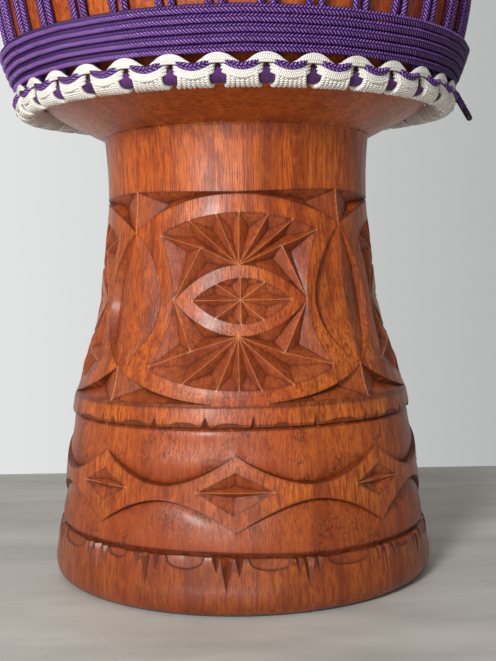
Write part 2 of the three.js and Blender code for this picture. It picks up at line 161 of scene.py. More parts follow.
class N:
    """A short way to build a node tree."""

    def __init__(self, name):
        self.m = bpy.data.materials.new(name)
        self.m.use_nodes = True
        self.t = self.m.node_tree
        self.t.nodes.clear()
        self.out = self.t.nodes.new("ShaderNodeOutputMaterial")
        self.bsdf = self.t.nodes.new("ShaderNodeBsdfPrincipled")
        self.t.links.new(self.bsdf.outputs[0], self.out.inputs[0])

    def put(self, socket, value):
        if isinstance(value, bpy.types.NodeSocket):
            self.t.links.new(value, socket)
        elif value is not None:
            socket.default_value = value

    def node(self, kind, inputs=(), **props):
        n = self.t.nodes.new(kind)
        for k, v in props.items():
            setattr(n, k, v)
        for k, v in dict(inputs).items():
            self.put(n.inputs[k], v)
        return n

    def coords(self, kind="Object", scale=(1, 1, 1), shift=(0, 0, 0)):
        c = self.node("ShaderNodeTexCoord").outputs[kind]
        return self.node("ShaderNodeMapping", {"Vector": c, "Scale": scale, "Location": shift}).outputs[0]

    def noise(self, vec, scale, detail=3.0, rough=0.5, distort=0.0):
        return self.node("ShaderNodeTexNoise", {"Vector": vec, "Scale": scale, "Detail": detail, "Roughness": rough, "Distortion": distort}).outputs["Fac"]

    def ramp(self, fac, stops):
        n = self.node("ShaderNodeValToRGB", {"Fac": fac})
        e = n.color_ramp.elements
        while len(e) < len(stops):
            e.new(0.5)
        for el, (p, c) in zip(e, stops):
            el.position = p
            el.color = (c, c, c, 1) if isinstance(c, (int, float)) else (*c, 1)
        return n.outputs["Color"]

    def rng(self, fac, a, b, c=0.0, d=1.0):
        return self.node("ShaderNodeMapRange", {"Value": fac, "From Min": a, "From Max": b, "To Min": c, "To Max": d}).outputs[0]

    def mix(self, fac, a, b, mode="MIX"):
        n = self.node("ShaderNodeMix", data_type="RGBA", blend_type=mode)
        self.put(n.inputs[0], fac)
        for s, v in ((n.inputs[6], a), (n.inputs[7], b)):
            self.put(s, v if isinstance(v, bpy.types.NodeSocket) else (*v, 1))
        return n.outputs[2]

    def math(self, op, a, b=None, clamp=False):
        n = self.node("ShaderNodeMath", operation=op, use_clamp=clamp)
        self.put(n.inputs[0], a)
        self.put(n.inputs[1], b)
        return n.outputs[0]

    def attr(self, name):
        return self.node("ShaderNodeAttribute", attribute_name=name, attribute_type="GEOMETRY").outputs["Fac"]

    def bump(self, height, strength, distance, normal=None):
        n = self.node("ShaderNodeBump", {"Height": height, "Strength": strength, "Distance": distance})
        self.put(n.inputs["Normal"], normal)
        return n.outputs[0]

    def done(self, colour, rough, normal=None, **consts):
        self.put(self.bsdf.inputs["Base Color"], colour if isinstance(colour, bpy.types.NodeSocket) else (*colour, 1))
        self.put(self.bsdf.inputs["Roughness"], rough)
        self.put(self.bsdf.inputs["Normal"], normal)
        for k, v in consts.items():
            self.bsdf.inputs[k.replace("_", " ")].default_value = v
        return self.m


def srgb(r, g, b):
    return tuple(((c / 255) / 12.92 if c / 255 <= 0.04045 else ((c / 255 + 0.055) / 1.055) ** 2.4) for c in (r, g, b))


# ------------------------------------------------------------------ materials

def wood_material(name, inner=False):
    n = N(name)
    obj = n.coords("Object")
    broad = n.noise(n.coords(scale=(9, 9, 4)), 1.0, 3, 0.55)
    band = n.noise(n.coords(scale=(75, 75, 3.2), shift=(3, 1, 0)), 1.0, 4, 0.6, 0.25)
    fine = n.noise(n.coords(scale=(620, 620, 20)), 1.0, 4, 0.66)
    pore = n.noise(n.coords(scale=(1500, 1500, 105), shift=(5, 9, 2)), 1.0, 2, 0.5)
    light, mid, deep = srgb(204, 110, 40), srgb(176, 80, 28), srgb(108, 40, 14)
    base = n.mix(n.rng(broad, 0.34, 0.66), mid, light)
    base = n.mix(n.rng(band, 0.46, 0.64, 0.0, 0.78), base, deep)
    wide = n.noise(n.coords(scale=(24, 24, 2.2), shift=(8, 2, 1)), 1.0, 3, 0.55, 0.3)
    base = n.mix(n.rng(wide, 0.5, 0.66, 0.0, 0.45), base, srgb(150, 56, 22))
    streak = n.rng(fine, 0.47, 0.6, 0.0, 0.72)
    base = n.mix(streak, base, srgb(122, 46, 18))
    mott = n.noise(n.coords(scale=(190, 190, 120), shift=(4, 4, 9)), 1.0, 4, 0.62)
    base = n.mix(n.rng(mott, 0.5, 0.68, 0.0, 0.42), base, srgb(120, 46, 18))
    base = n.mix(n.rng(mott, 0.46, 0.3, 0.0, 0.3), base, srgb(214, 122, 52))
    dark = n.rng(pore, 0.56, 0.66, 0.0, 0.6)
    base = n.mix(dark, base, srgb(84, 32, 14))
    if inner:
        base = n.mix(0.45, base, srgb(120, 72, 42))
        rough = n.rng(fine, 0.3, 0.7, 0.7, 0.85)
        tool = n.noise(n.coords(scale=(60, 60, 28), shift=(2, 2, 2)), 1.0, 3, 0.5)
        height = n.math("ADD", n.math("MULTIPLY", tool, 1.0), n.math("MULTIPLY", fine, 0.35))
        return n.done(base, rough, n.bump(height, 0.6, 0.0012), IOR=1.45)
    zed = n.node("ShaderNodeSeparateXYZ", {"Vector": n.node("ShaderNodeTexCoord").outputs["Object"]}).outputs["Z"]
    # painted light: the underside of the bowl's flare, from 262 to 292 mm, is made lighter as if lit by light bouncing
    # up from the floor; the same band also carries the dark dashes below
    flare = n.math("MULTIPLY", n.rng(zed, 0.262, 0.268), n.rng(zed, 0.292, 0.286))
    base = n.mix(n.math("MULTIPLY", flare, 0.38), base, srgb(204, 104, 46))
    # darker towards the bottom of the foot
    low = n.rng(zed, 0.004, 0.085, 0.6, 0.0)
    base = n.mix(low, base, srgb(92, 40, 20))
    cut, recess = n.attr("cut"), n.attr("recess")
    wear_and_highlight = n.math("POWER", n.attr("wear_and_highlight"), 3.0)
    cut_noise = n.noise(n.coords(scale=(260, 260, 170), shift=(1, 4, 3)), 1.0, 5, 0.65)
    cut_col = n.mix(n.rng(cut_noise, 0.38, 0.66), srgb(150, 66, 28), srgb(98, 38, 16))
    cut_col = n.mix(n.math("MULTIPLY", dark, 0.6), cut_col, srgb(82, 34, 18))
    base = n.mix(n.math("MULTIPLY", cut, 0.5), base, cut_col)
    patch = n.noise(n.coords(scale=(58, 58, 70), shift=(7, 0, 1)), 1.0, 3, 0.6)
    fleck = n.noise(n.coords(scale=(700, 700, 520), shift=(0, 3, 6)), 1.0, 4, 0.65)
    spots = n.math("MULTIPLY", n.rng(patch, 0.51, 0.62), n.rng(fleck, 0.48, 0.55))
    dash = n.noise(n.coords(scale=(240, 900, 900), shift=(2, 8, 5)), 1.0, 3, 0.6)
    base = n.mix(n.math("MULTIPLY", flare, n.rng(dash, 0.5, 0.64, 0.0, 0.6)), base, srgb(92, 36, 15))
    base = n.mix(n.math("MULTIPLY", recess, 0.42), base, srgb(150, 64, 28))
    base = n.mix(n.math("MULTIPLY", n.math("MULTIPLY", spots, recess), 0.72), base, srgb(80, 30, 16))
    # painted highlight and wear: the ridges' thin light lines are partly real worn wood and partly a painted highlight
    # where light catches the rounded edges
    base = n.mix(n.math("MULTIPLY", n.math("MULTIPLY", wear_and_highlight, n.rng(cut_noise, 0.3, 0.6, 0.45, 1.0)), 0.62), base, srgb(234, 168, 118))
    # painted shade: the carving darkens towards its deepest points, like shade in the hollows
    base = n.mix(n.math("MULTIPLY", n.math("POWER", n.attr("deep"), 1.3), 0.34), base, srgb(70, 24, 10))
    # painted shade along the outlines and valleys, partly a thin line of real polish build-up where the carving's walls
    # meet
    base = n.mix(n.math("MULTIPLY", n.math("POWER", n.attr("groove"), 3.0), 0.55), base, srgb(56, 19, 8))
    rough = n.rng(fine, 0.3, 0.7, 0.3, 0.46)
    rough = n.math("ADD", rough, n.math("MULTIPLY", cut, 0.16))
    rough = n.math("ADD", rough, n.math("MULTIPLY", recess, 0.04))
    rough = n.math("SUBTRACT", rough, n.math("MULTIPLY", wear_and_highlight, 0.08), True)
    height = n.math("ADD", n.math("MULTIPLY", pore, 0.55), n.math("MULTIPLY", fine, 0.5))
    rub = n.math("MULTIPLY", cut_noise, n.math("ADD", n.math("MULTIPLY", cut, 1.1), n.math("MULTIPLY", recess, 0.5)))
    height = n.math("ADD", height, rub)
    nor = n.bump(height, 0.6, 0.0006)
    return n.done(base, rough, nor, IOR=1.4, Coat_Weight=0.12, Coat_Roughness=0.2)


def rope_material(name, dark, mid, bright, pitch=1.95, radius=2.1, rough=0.58, split=True):
    """A braid: chevrons in two columns, drawn from the length and angle along the rope."""
    n = N(name)
    s, a = n.attr("along"), n.attr("around")
    slant = n.math("MULTIPLY", n.math("ABSOLUTE", a), radius)
    side = n.math("MULTIPLY", n.math("GREATER_THAN", a, 0.0), 0.5 if split else 0.0)
    phase = n.math("ADD", n.math("DIVIDE", n.math("SUBTRACT", s, slant), pitch), side)
    wave = n.math("ABSOLUTE", n.math("SINE", n.math("MULTIPLY", phase, math.pi)))
    fine = n.noise(n.coords(scale=(2600, 2600, 2600)), 1.0, 2, 0.5)
    tone = n.noise(n.coords(scale=(300, 300, 300)), 1.0, 2, 0.5)
    # a dark line between the braid's two columns: painted shade in that crease
    column = n.math("ABSOLUTE", n.math("SINE", n.math("MULTIPLY", a, 2.2)))
    wave = n.math("MULTIPLY", wave, n.rng(column, 0.0, 0.55, 0.45, 1.0))
    # painted shade and highlight: the strands are dark in the creases between them and light on their crowns, with a
    # painted glint on the crowns
    col = n.mix(n.rng(wave, 0.3, 0.8), dark, mid)
    glint = n.math("MULTIPLY", n.rng(wave, 0.66, 0.95), n.rng(fine, 0.38, 0.52))
    col = n.mix(n.math("MULTIPLY", glint, 0.9), col, bright)
    col = n.mix(n.rng(tone, 0.4, 0.7, 0.0, 0.25), col, dark)
    h = n.math("ADD", wave, n.math("MULTIPLY", fine, 0.25))
    return n.done(col, rough, n.bump(h, 0.8, 0.0004), IOR=1.36)


def cord_material():
    n = N("white_cord_knit")
    s, a = n.attr("along"), n.attr("around")
    slant = n.math("MULTIPLY", n.math("ABSOLUTE", a), 0.8)
    phase = n.math("DIVIDE", n.math("SUBTRACT", s, slant), 1.1)
    wave = n.math("ABSOLUTE", n.math("SINE", n.math("MULTIPLY", phase, math.pi)))
    fine = n.noise(n.coords(scale=(1900, 1900, 1900)), 1.0, 3, 0.6)
    broad = n.noise(n.coords(scale=(95, 95, 95)), 1.0, 2, 0.5)
    # painted shade: the cord is darker in the creases between its stitches
    col = n.mix(n.rng(wave, 0.1, 0.6), srgb(150, 139, 118), srgb(255, 254, 250))
    col = n.mix(n.rng(fine, 0.52, 0.72, 0.0, 0.45), col, srgb(196, 184, 158))
    col = n.mix(n.rng(broad, 0.55, 0.75, 0.0, 0.2), col, srgb(224, 210, 180))
    h = n.math("ADD", wave, n.math("MULTIPLY", fine, 0.8))
    return n.done(col, 0.7, n.bump(h, 0.75, 0.0004), IOR=1.45)


def cloth_material():
    n = N("purple_ring_cloth")
    s, a = n.attr("along"), n.attr("around")
    weave = n.node("ShaderNodeTexWave", {"Vector": n.coords(scale=(1, 1, 1)), "Scale": 420.0, "Distortion": 2.5, "Detail": 2.0}, wave_type="BANDS", bands_direction="DIAGONAL").outputs["Fac"]
    fine = n.noise(n.coords(scale=(1500, 1500, 1500)), 1.0, 3, 0.6)
    fold = n.noise(n.coords(scale=(110, 110, 60)), 1.0, 3, 0.5)
    col = n.mix(n.rng(fold, 0.35, 0.65), srgb(56, 22, 74), srgb(86, 38, 108))
    col = n.mix(n.rng(weave, 0.3, 0.9, 0.0, 0.3), col, srgb(104, 62, 124))
    col = n.mix(n.rng(fine, 0.5, 0.75, 0.0, 0.35), col, srgb(34, 12, 46))
    h = n.math("ADD", n.math("MULTIPLY", weave, 0.5), fine)
    return n.done(col, 0.82, n.bump(h, 0.6, 0.0003), IOR=1.38, Sheen_Weight=0.08, Sheen_Roughness=0.5)


def skin_material():
    n = N("goatskin")
    broad = n.noise(n.coords(scale=(11, 11, 11)), 1.0, 4, 0.6, 0.4)
    mott = n.noise(n.coords(scale=(60, 60, 60), shift=(2, 1, 0)), 1.0, 4, 0.6)
    hair = n.noise(n.coords(scale=(900, 260, 900)), 1.0, 3, 0.6)
    pore = n.node("ShaderNodeTexVoronoi", {"Vector": n.coords(), "Scale": 620.0}).outputs["Distance"]
    x = n.node("ShaderNodeSeparateXYZ", {"Vector": n.node("ShaderNodeTexCoord").outputs["Object"]}).outputs["X"]
    wob = n.math("MULTIPLY", n.math("SUBTRACT", broad, 0.5), 0.05)
    spine = n.math("ABSOLUTE", n.math("ADD", x, wob))
    col = n.mix(n.rng(broad, 0.3, 0.7), srgb(226, 207, 172), srgb(196, 166, 122))
    col = n.mix(n.rng(spine, 0.0, 0.034, 0.5, 0.0), col, srgb(138, 98, 64))
    col = n.mix(n.rng(mott, 0.5, 0.75, 0.0, 0.35), col, srgb(168, 130, 90))
    col = n.mix(n.rng(hair, 0.6, 0.75, 0.0, 0.35), col, srgb(112, 80, 54))
    h = n.math("ADD", n.math("MULTIPLY", pore, 0.8), n.math("ADD", n.math("MULTIPLY", hair, 0.4), n.math("MULTIPLY", mott, 0.8)))
    return n.done(col, n.rng(mott, 0.3, 0.7, 0.42, 0.6), n.bump(h, 0.35, 0.0004), IOR=1.5, Subsurface_Weight=0.08, Subsurface_Scale=0.002)


def tip_material():
    n = N("melted_tip")
    a = n.noise(n.coords(scale=(700, 700, 700)), 1.0, 3, 0.55)
    col = n.mix(n.rng(a, 0.35, 0.7), srgb(22, 18, 24), srgb(52, 42, 58))
    return n.done(col, n.rng(a, 0.3, 0.7, 0.3, 0.55), n.bump(a, 0.5, 0.0004), IOR=1.5)


WOOD = wood_material("carved_wood")
WOOD_IN = wood_material("bore_wood", inner=True)
ROPE = rope_material("purple_rope", srgb(22, 6, 42), srgb(76, 30, 124), srgb(186, 134, 222))
CORD = cord_material()
CLOTH = cloth_material()
SKIN = skin_material()
TIP = tip_material()

# ------------------------------------------------------------------ tubes

def resample(points, step):
    p = np.asarray(points, float)
    seg = np.linalg.norm(np.diff(p, axis=0), axis=1)
    s = np.concatenate([[0], np.cumsum(seg)])
    m = max(2, int(round(s[-1] / step)) + 1)
    t = np.linspace(0, s[-1], m)
    return np.stack([np.interp(t, s, p[:, k]) for k in range(3)], -1), t


def spline(points, per=8):
    """A centripetal Catmull-Rom curve through the points."""
    p = np.asarray(points, float)
    p = np.vstack([2 * p[0] - p[1], p, 2 * p[-1] - p[-2]])
    out = []
    for i in range(1, len(p) - 2):
        p0, p1, p2, p3 = p[i - 1:i + 3]
        t = [0.0]
        for a, b in ((p0, p1), (p1, p2), (p2, p3)):
            t.append(t[-1] + max(np.linalg.norm(b - a), 1e-9) ** 0.5)
        for k in range(per):
            x = t[1] + (t[2] - t[1]) * k / per
            a1 = (t[1] - x) / (t[1] - t[0]) * p0 + (x - t[0]) / (t[1] - t[0]) * p1
            a2 = (t[2] - x) / (t[2] - t[1]) * p1 + (x - t[1]) / (t[2] - t[1]) * p2
            a3 = (t[3] - x) / (t[3] - t[2]) * p2 + (x - t[2]) / (t[3] - t[2]) * p3
            b1 = (t[2] - x) / (t[2] - t[0]) * a1 + (x - t[0]) / (t[2] - t[0]) * a2
            b2 = (t[3] - x) / (t[3] - t[1]) * a2 + (x - t[1]) / (t[3] - t[1]) * a3
            out.append((t[2] - x) / (t[2] - t[1]) * b1 + (x - t[1]) / (t[2] - t[1]) * b2)
    out.append(p[-2])
    return np.array(out)


class Tubes:
    """Collects many tubes, in mm, into one mesh. Angle 0 on a section faces away from the drum's axis."""

    def __init__(self):
        self.v, self.f, self.along, self.around, self.n = [], [], [], [], 0

    def add(self, path, along, radius, sides, closed=False, braid=0.0, pitch=1.95, cap=True, flat=1.0):
        path = np.asarray(path, float)
        m = len(path)
        radius = np.broadcast_to(np.asarray(radius, float), (m,))
        if closed:
            tan = np.roll(path, -1, 0) - np.roll(path, 1, 0)
        else:
            tan = np.gradient(path, axis=0)
        tan /= np.linalg.norm(tan, axis=1)[:, None]
        rad = path * [1, 1, 0]
        rad /= np.linalg.norm(rad, axis=1)[:, None]
        nor = rad - tan * (rad * tan).sum(1)[:, None]
        nor /= np.linalg.norm(nor, axis=1)[:, None]
        bi = np.cross(tan, nor)
        ang = np.linspace(0, 2 * math.pi, sides, endpoint=False)
        ang = np.where(ang > math.pi, ang - 2 * math.pi, ang)
        rr = radius[:, None] * np.ones(sides)[None, :]
        shear = np.zeros((m, sides))
        if braid:
            k = np.arange(m) % 3
            rr = rr + np.where(k == 0, -braid, braid * 0.5)[:, None]
            shear = np.abs(ang)[None, :] * radius[:, None] - math.pi / 2 * radius[:, None]
            if not closed:
                fade = np.clip(np.minimum(np.arange(m), np.arange(m)[::-1]) / 6.0, 0, 1)
                shear = shear * fade[:, None]
        pts = (
            path[:, None, :] + nor[:, None, :] * (np.cos(ang)[None, :] * rr)[..., None]
            + bi[:, None, :] * (np.sin(ang)[None, :] * rr * flat)[..., None] + tan[:, None, :] * shear[..., None]
        )
        base = self.n
        self.v.append(pts.reshape(-1, 3))
        self.along.append((along[:, None] + shear).reshape(-1))
        self.around.append(np.broadcast_to(ang, (m, sides)).reshape(-1))
        rows = m if closed else m - 1
        i = np.arange(rows)[:, None]
        j = np.arange(sides)[None, :]
        i2, j2 = (i + 1) % m, (j + 1) % sides
        q = np.stack([base + i * sides + j, base + i2 * sides + j, base + i2 * sides + j2, base + i * sides + j2], -1)
        self.f.extend(q.reshape(-1, 4).tolist())
        self.n += m * sides
        if cap and not closed:
            self.f.append([base + j for j in range(sides)])
            self.f.append([base + (m - 1) * sides + j for j in reversed(range(sides))])

    def mesh(self, name):
        o = new_mesh(name, np.vstack(self.v) * MM, self.f)
        point_attr(o, "along", np.concatenate(self.along))
        point_attr(o, "around", np.concatenate(self.around))
        return o


def give(o, material, *nodes, slot):
    o.data.materials.append(material)
    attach(o, "root")
    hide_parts(*nodes)
    return o


# ------------------------------------------------------------------ the free rope end

tail_path = spline([polar(*p) for p in TAIL_ROUTE], 10)
pitch3 = 1.95 / 3
pts, run = resample(tail_path, pitch3)
t = Tubes()
t.add(pts, run, TAIL_R + 0.12, 12, braid=0.16)
tail = give(t.mesh("tail_rope_braid"), ROPE, "tail_rope", slot="rope")

end, before = tail_path[-1], polar(*TAIL_ROUTE[-2])
direction = (end - before) / np.linalg.norm(end - before)
start = end + direction * GAP
k = np.linspace(0, 1, 12)
tip_line = start[None, :] + direction[None, :] * (k * TAIL_TIP_LENGTH)[:, None]
tip_r = TIP_R * np.interp(k, [0, 0.08, 0.5, 0.86, 0.96, 1], [0.93, 0.99, 0.97, 0.92, 0.7, 0.3])
tip_r = tip_r * (1 + 0.03 * np.sin(k * 23))
t = Tubes()
t.add(tip_line, k * TAIL_TIP_LENGTH, tip_r, 16)
tip = give(t.mesh("tail_tip_sealed"), TIP, "tail_tip", slot="rope_tip")

# ------------------------------------------------------------------ the carved shell

U = 1.7            # mm of unwrapped width per degree, about the shell's mean radius
SPACING = 1.9
lines, ridges, grooves, patches = [], [], [], []


def seg_points(a, b, step=1.7):
    n = max(1, int(math.ceil(math.hypot((b[0] - a[0]) * U, b[1] - a[1]) / step)))
    return [(a[0] + (b[0] - a[0]) * i / n, a[1] + (b[1] - a[1]) * i / n) for i in range(n + 1)]


def line(points, ridge=False):
    out = [points[0]]
    for a, b in zip(points, points[1:]):
        out += seg_points(a, b)[1:]
    lines.append(out)
    (ridges if ridge else grooves).append(list(points))


def cell(edges, deep, depth, rim=0.0, wear_and_highlight=(0,)):
    """A chip: flat facets from its edges down to one deep point. edges are lines from corner to corner."""
    for i, e in enumerate(edges):
        line(e, ridge=i in wear_and_highlight)
        line([deep, e[0]])
        for a, b in zip(e, e[1:]):
            patches.append(((*a, rim), (*b, rim), (*deep, depth)))


def curve(f, a, b, n=None):
    n = n or max(2, int(abs(b - a) * U / 1.8))
    return [(a + (b - a) * i / n, f(a + (b - a) * i / n)) for i in range(n + 1)]


# the ring's outlines
def ring_out_up(x): return 166 + 58 * math.sqrt(max(0, 1 - (x / 60) ** 2))
def ring_out_down(x): return 166 - 55.2 * math.sqrt(max(0, 1 - (x / 60) ** 2))
def ring_in_up(x): return 166 + 48 * math.sqrt(1 - ((x - 0.8) / 50) ** 2)
def ring_in_down(x): return 166 - 48 * math.sqrt(1 - ((x - 0.8) / 50) ** 2)
def eye_up(x): return 166.2 + 19 * (1 - ((x - 1) / 25.5) ** 2)
def eye_down(x): return 166.2 - 19.5 * (1 - ((x - 1) / 25.5) ** 2)
def lens_up(x): return 166.2 + 12 * (1 - ((x - 1.5) / 18.5) ** 2)
def lens_down(x): return 166.2 - 13 * (1 - ((x - 1.5) / 18.5) ** 2)
def side_in(z, s): return 0.8 + s * (25.7 + 6.4 * ((z - 166.2) / 36) ** 2)


def side_curve(z0, z1, s):
    n = 20
    return [(side_in(z0 + (z1 - z0) * i / n, s), z0 + (z1 - z0) * i / n) for i in range(n + 1)]


def toward(a, b, k):
    return (a[0] + (b[0] - a[0]) * k, a[1] + (b[1] - a[1]) * k)


tip_l, tip_r_ = (-24.5, 166.2), (26.5, 166.2)
for up in (True, False):
    eye = eye_up if up else eye_down
    arch = ring_in_up if up else ring_in_down
    centre = (0.5, eye(0.5)) if up else (0.0, eye(0.0))
    zc = 202.2 if up else 130.6
    corner_l, corner_r = (side_in(zc, -1), zc), (side_in(zc, 1), zc)
    stops = [-19, -8, 1, 12.5, 22.5] if up else [-18.5, -7, 0, 7, 17.5]
    knee_l, knee_r = ((-14, 195), (17.5, 195.5)) if up else ((-16.5, 139), (15.5, 137.5))
    deeps = ((-12.5, 186.5), (-20.5, 192.5), (14.6, 188.6), (22.6, 192)) if up else ((-12.6, 146.2), (-22, 142.8), (13, 143.2), (22.5, 141.4))
    marks = [corner_l] + [(x, arch(x)) for x in stops] + [corner_r]
    for i in range(len(marks) - 1):
        a, b = marks[i], marks[i + 1]
        out_a = [centre, knee_l, a] if i == 0 else [centre, a]
        out_b = [b, knee_r, centre] if i == len(marks) - 2 else [b, centre]
        n = 6
        outer = [a] + [(a[0] + (b[0] - a[0]) * j / n, arch(a[0] + (b[0] - a[0]) * j / n)) for j in range(1, n)] + [b]
        mid = toward(a, b, 0.5)
        if i == 0:
            mid = toward(a, b, 0.56)
        if i == len(marks) - 2:
            mid = toward(a, b, 0.4)
        width = math.hypot((b[0] - a[0]) * U, b[1] - a[1])
        deep = toward(centre, mid, 0.74)
        cell([out_a, outer, out_b], deep, min(5.2, 1.7 + 0.17 * width), wear_and_highlight=(0, 2))
    s1l, s2l, s1r, s2r = deeps
    def eye_curve(a, b):
        return curve(eye, a, b)
    cell([[centre, knee_r], [knee_r, tip_r_], [tip_r_] + eye_curve(tip_r_[0], centre[0])[1:-1] + [centre]], s1r, 4.8, wear_and_highlight=(1,))
    cell([[knee_r, corner_r], side_curve(corner_r[1], tip_r_[1], 1)[:-1] + [tip_r_], [tip_r_, knee_r]], s2r, 5.2, wear_and_highlight=())
    cell([[centre, knee_l], [knee_l, tip_l], [tip_l] + eye_curve(tip_l[0], centre[0])[1:-1] + [centre]], s1l, 4.6, wear_and_highlight=(1,))
    cell([[knee_l, corner_l], side_curve(corner_l[1], tip_l[1], -1)[:-1] + [tip_l], [tip_l, knee_l]], s2l, 4.6, wear_and_highlight=())

star = (1.0, 166.2)
spokes = [(-17.0, 166.2), (-8.0, lens_up(-8)), (1.0, lens_up(1)), (10.0, lens_up(10)), (20.0, 166.2), (9.0, lens_down(9)), (1.0, lens_down(1)), (-8.0, lens_down(-8))]
for i, a in enumerate(spokes):
    b = spokes[(i + 1) % 8]
    f = lens_up if i < 4 else lens_down
    n = 5
    rim = [a] + [(a[0] + (b[0] - a[0]) * j / n, f(a[0] + (b[0] - a[0]) * j / n)) for j in range(1, n)] + [b]
    cell([[star, a], rim, [b, star]], toward(star, toward(a, b, 0.5), 0.75), 3.0, wear_and_highlight=(0, 2))

# the corner chips between the rings, above and below
for s in (1, -1):
    seam = 45.0 * s
    apex, head_ = (seam, ring_out_up(45)), (seam, 227.2)
    deep = (s * 31, 219.6)
    xs_ = np.linspace(31, 0.0, 22)
    arc_ = [(s * x, ring_out_up(x)) for x in xs_]
    top_ = [(s * x, 225.2 + 2.0 * x / 45) for x in xs_]
    spine = [(s * x, a[1] + 0.45 * (t_[1] - a[1])) for x, a, t_ in zip(xs_, arc_, top_)]
    spine[0] = deep
    deep_d = [0.8 + 4.8 * max(0.0, (t_[1] - a[1] - 1.2) / (top_[0][1] - arc_[0][1] - 1.2)) ** 0.8 for a, t_ in zip(arc_, top_)]
    near_ = [(s * x, ring_out_up(x)) for x in np.linspace(45, 31, 10)]
    line([head_, apex], ridge=True)
    line(near_ + arc_[1:]); line(top_); line([top_[0], head_]); line(spine); line([deep, apex]); line([deep, head_])
    for a, b in zip(near_, near_[1:]):
        patches.append(((*a, 0), (*b, 0), (*deep, 5.6)))
    patches.append(((*apex, 0), (*head_, 0), (*deep, 5.6)))
    patches.append(((*top_[0], 0), (*head_, 0), (*deep, 5.6)))
    for i in range(len(xs_) - 1):
        for rail in (arc_, top_):
            patches.append(((*rail[i], 0), (*rail[i + 1], 0), (*spine[i], deep_d[i])))
            patches.append(((*rail[i + 1], 0), (*spine[i + 1], deep_d[i + 1]), (*spine[i], deep_d[i])))
    apex, foot_ = (seam, ring_out_down(45)), (seam, 111.6)
    deep = (s * 34.5, 118.6)
    xs_ = np.linspace(34.5, 9.0, 18)
    arc_ = [(s * x, max(111.5, ring_out_down(x))) for x in xs_]
    low_ = [(s * x, 111.3) for x in xs_]
    spine = [(s * x, 111.3 + 0.66 * (a[1] - 111.3)) for x, a in zip(xs_, arc_)]
    spine[0] = deep
    deep_d = [5.2 * (max(0.0, a[1] - 111.45) / (arc_[0][1] - 111.45)) ** 0.75 for a in arc_]
    near_ = [(s * x, ring_out_down(x)) for x in np.linspace(45, 34.5, 8)]
    line([foot_, apex], ridge=True)
    line(near_ + arc_[1:]); line(low_); line([low_[0], foot_]); line(spine); line([deep, apex]); line([deep, foot_])
    for a, b in zip(near_, near_[1:]):
        patches.append(((*a, 0), (*b, 0), (*deep, 5.2)))
    patches.append(((*apex, 0), (*foot_, 0), (*deep, 5.2)))
    patches.append(((*low_[0], 0), (*foot_, 0), (*deep, 5.2)))
    for i in range(len(xs_) - 1):
        for rail in (arc_, low_):
            patches.append(((*rail[i], 0), (*rail[i + 1], 0), (*spine[i], deep_d[i])))
            patches.append(((*rail[i + 1], 0), (*spine[i + 1], deep_d[i + 1]), (*spine[i], deep_d[i])))

# the pointed ovals where two rings cross
Z_TOP, Z_LOW = ring_out_up(45), ring_out_down(45)


def oval_edge(z):
    h = 58 if z > 166 else 55.2
    return 90 - 60 * math.sqrt(max(0, 1 - ((z - 166) / h) ** 2))


def oval_w(z):
    m = (Z_TOP + Z_LOW) / 2
    return max(0.0, 1 - abs((z - m) / ((Z_TOP - Z_LOW) / 2)) ** 2.0)


zs = np.linspace(Z_LOW, Z_TOP, 48)
for s in (1, -1):
    edge = [(s * min(45.0, oval_edge(z)), z) for z in zs]
    groove = [(s * min(45.0, oval_edge(z) + 2.3 * oval_w(z) ** 0.8), z) for z in zs]
    line(edge)
    line(groove[1:-1])
    for i in range(len(zs) - 1):
        d0, d1 = 4.0 * oval_w(zs[i]) ** 0.7, 4.0 * oval_w(zs[i + 1]) ** 0.7
        patches.append(((*edge[i], 0), (*edge[i + 1], 0), (*groove[i], d0)))
        patches.append(((*edge[i + 1], 0), (*groove[i + 1], d1), (*groove[i], d0)))

# rhombus chips on the net's crossings
L, T, R, B = (-12.5, 65.4), (-1.5, 76), (9.5, 65.2), (-2, 53.5)
mid_ridge = 0.7
for far, deep in ((T, (-1.5, 68.4)), (B, (-2, 62.4))):
    line([L, far]); line([far, R]); line([L, R], ridge=True)
    for e in (L, R, far):
        line([deep, e])
    patches.append(((*L, 0), (*far, 0), (*deep, 3.9)))
    patches.append(((*far, 0), (*R, 0), (*deep, 3.9)))
    patches.append(((*L, 0), (*R, 0), (*deep, 3.9)))
for s in (1, -1):
    L, T, B, M = (s * 35.5, 65.5), (s * 45, 74), (s * 45, 57), (s * 45, 65.5)
    for far, dz in ((T, 2.6), (B, -2.6)):
        deep = (s * 45, 65.5 + dz)
        line([L, far]); line([L, M], ridge=True); line([L, deep])
        patches.append(((*L, 0), (*far, 0), (*deep, 3.4)))
        patches.append(((*L, 0), (*M, 1.0), (*deep, 3.4)))

# nicks and half moons along the band edges
def nick(base, edge_z, a, b, apex, depth, side):
    """A V notch that opens at a band's edge. side is 1 where the band is below its edge."""
    m = (a + b) / 2
    out = edge_z + 0.5 * side
    line([(a, edge_z), (apex[0], apex[1])]); line([(b, edge_z), (apex[0], apex[1])]); line([(m, edge_z), (apex[0], apex[1])])
    for x in (a, b):
        patches.append(((x, edge_z, 0), (*apex, 0), (m, edge_z, depth)))
        patches.append(((x, edge_z, 0), (m, edge_z, depth), (m, out, depth * 0.55)))
        patches.append(((x, edge_z, 0), (x, out, 0), (m, out, depth * 0.55)))


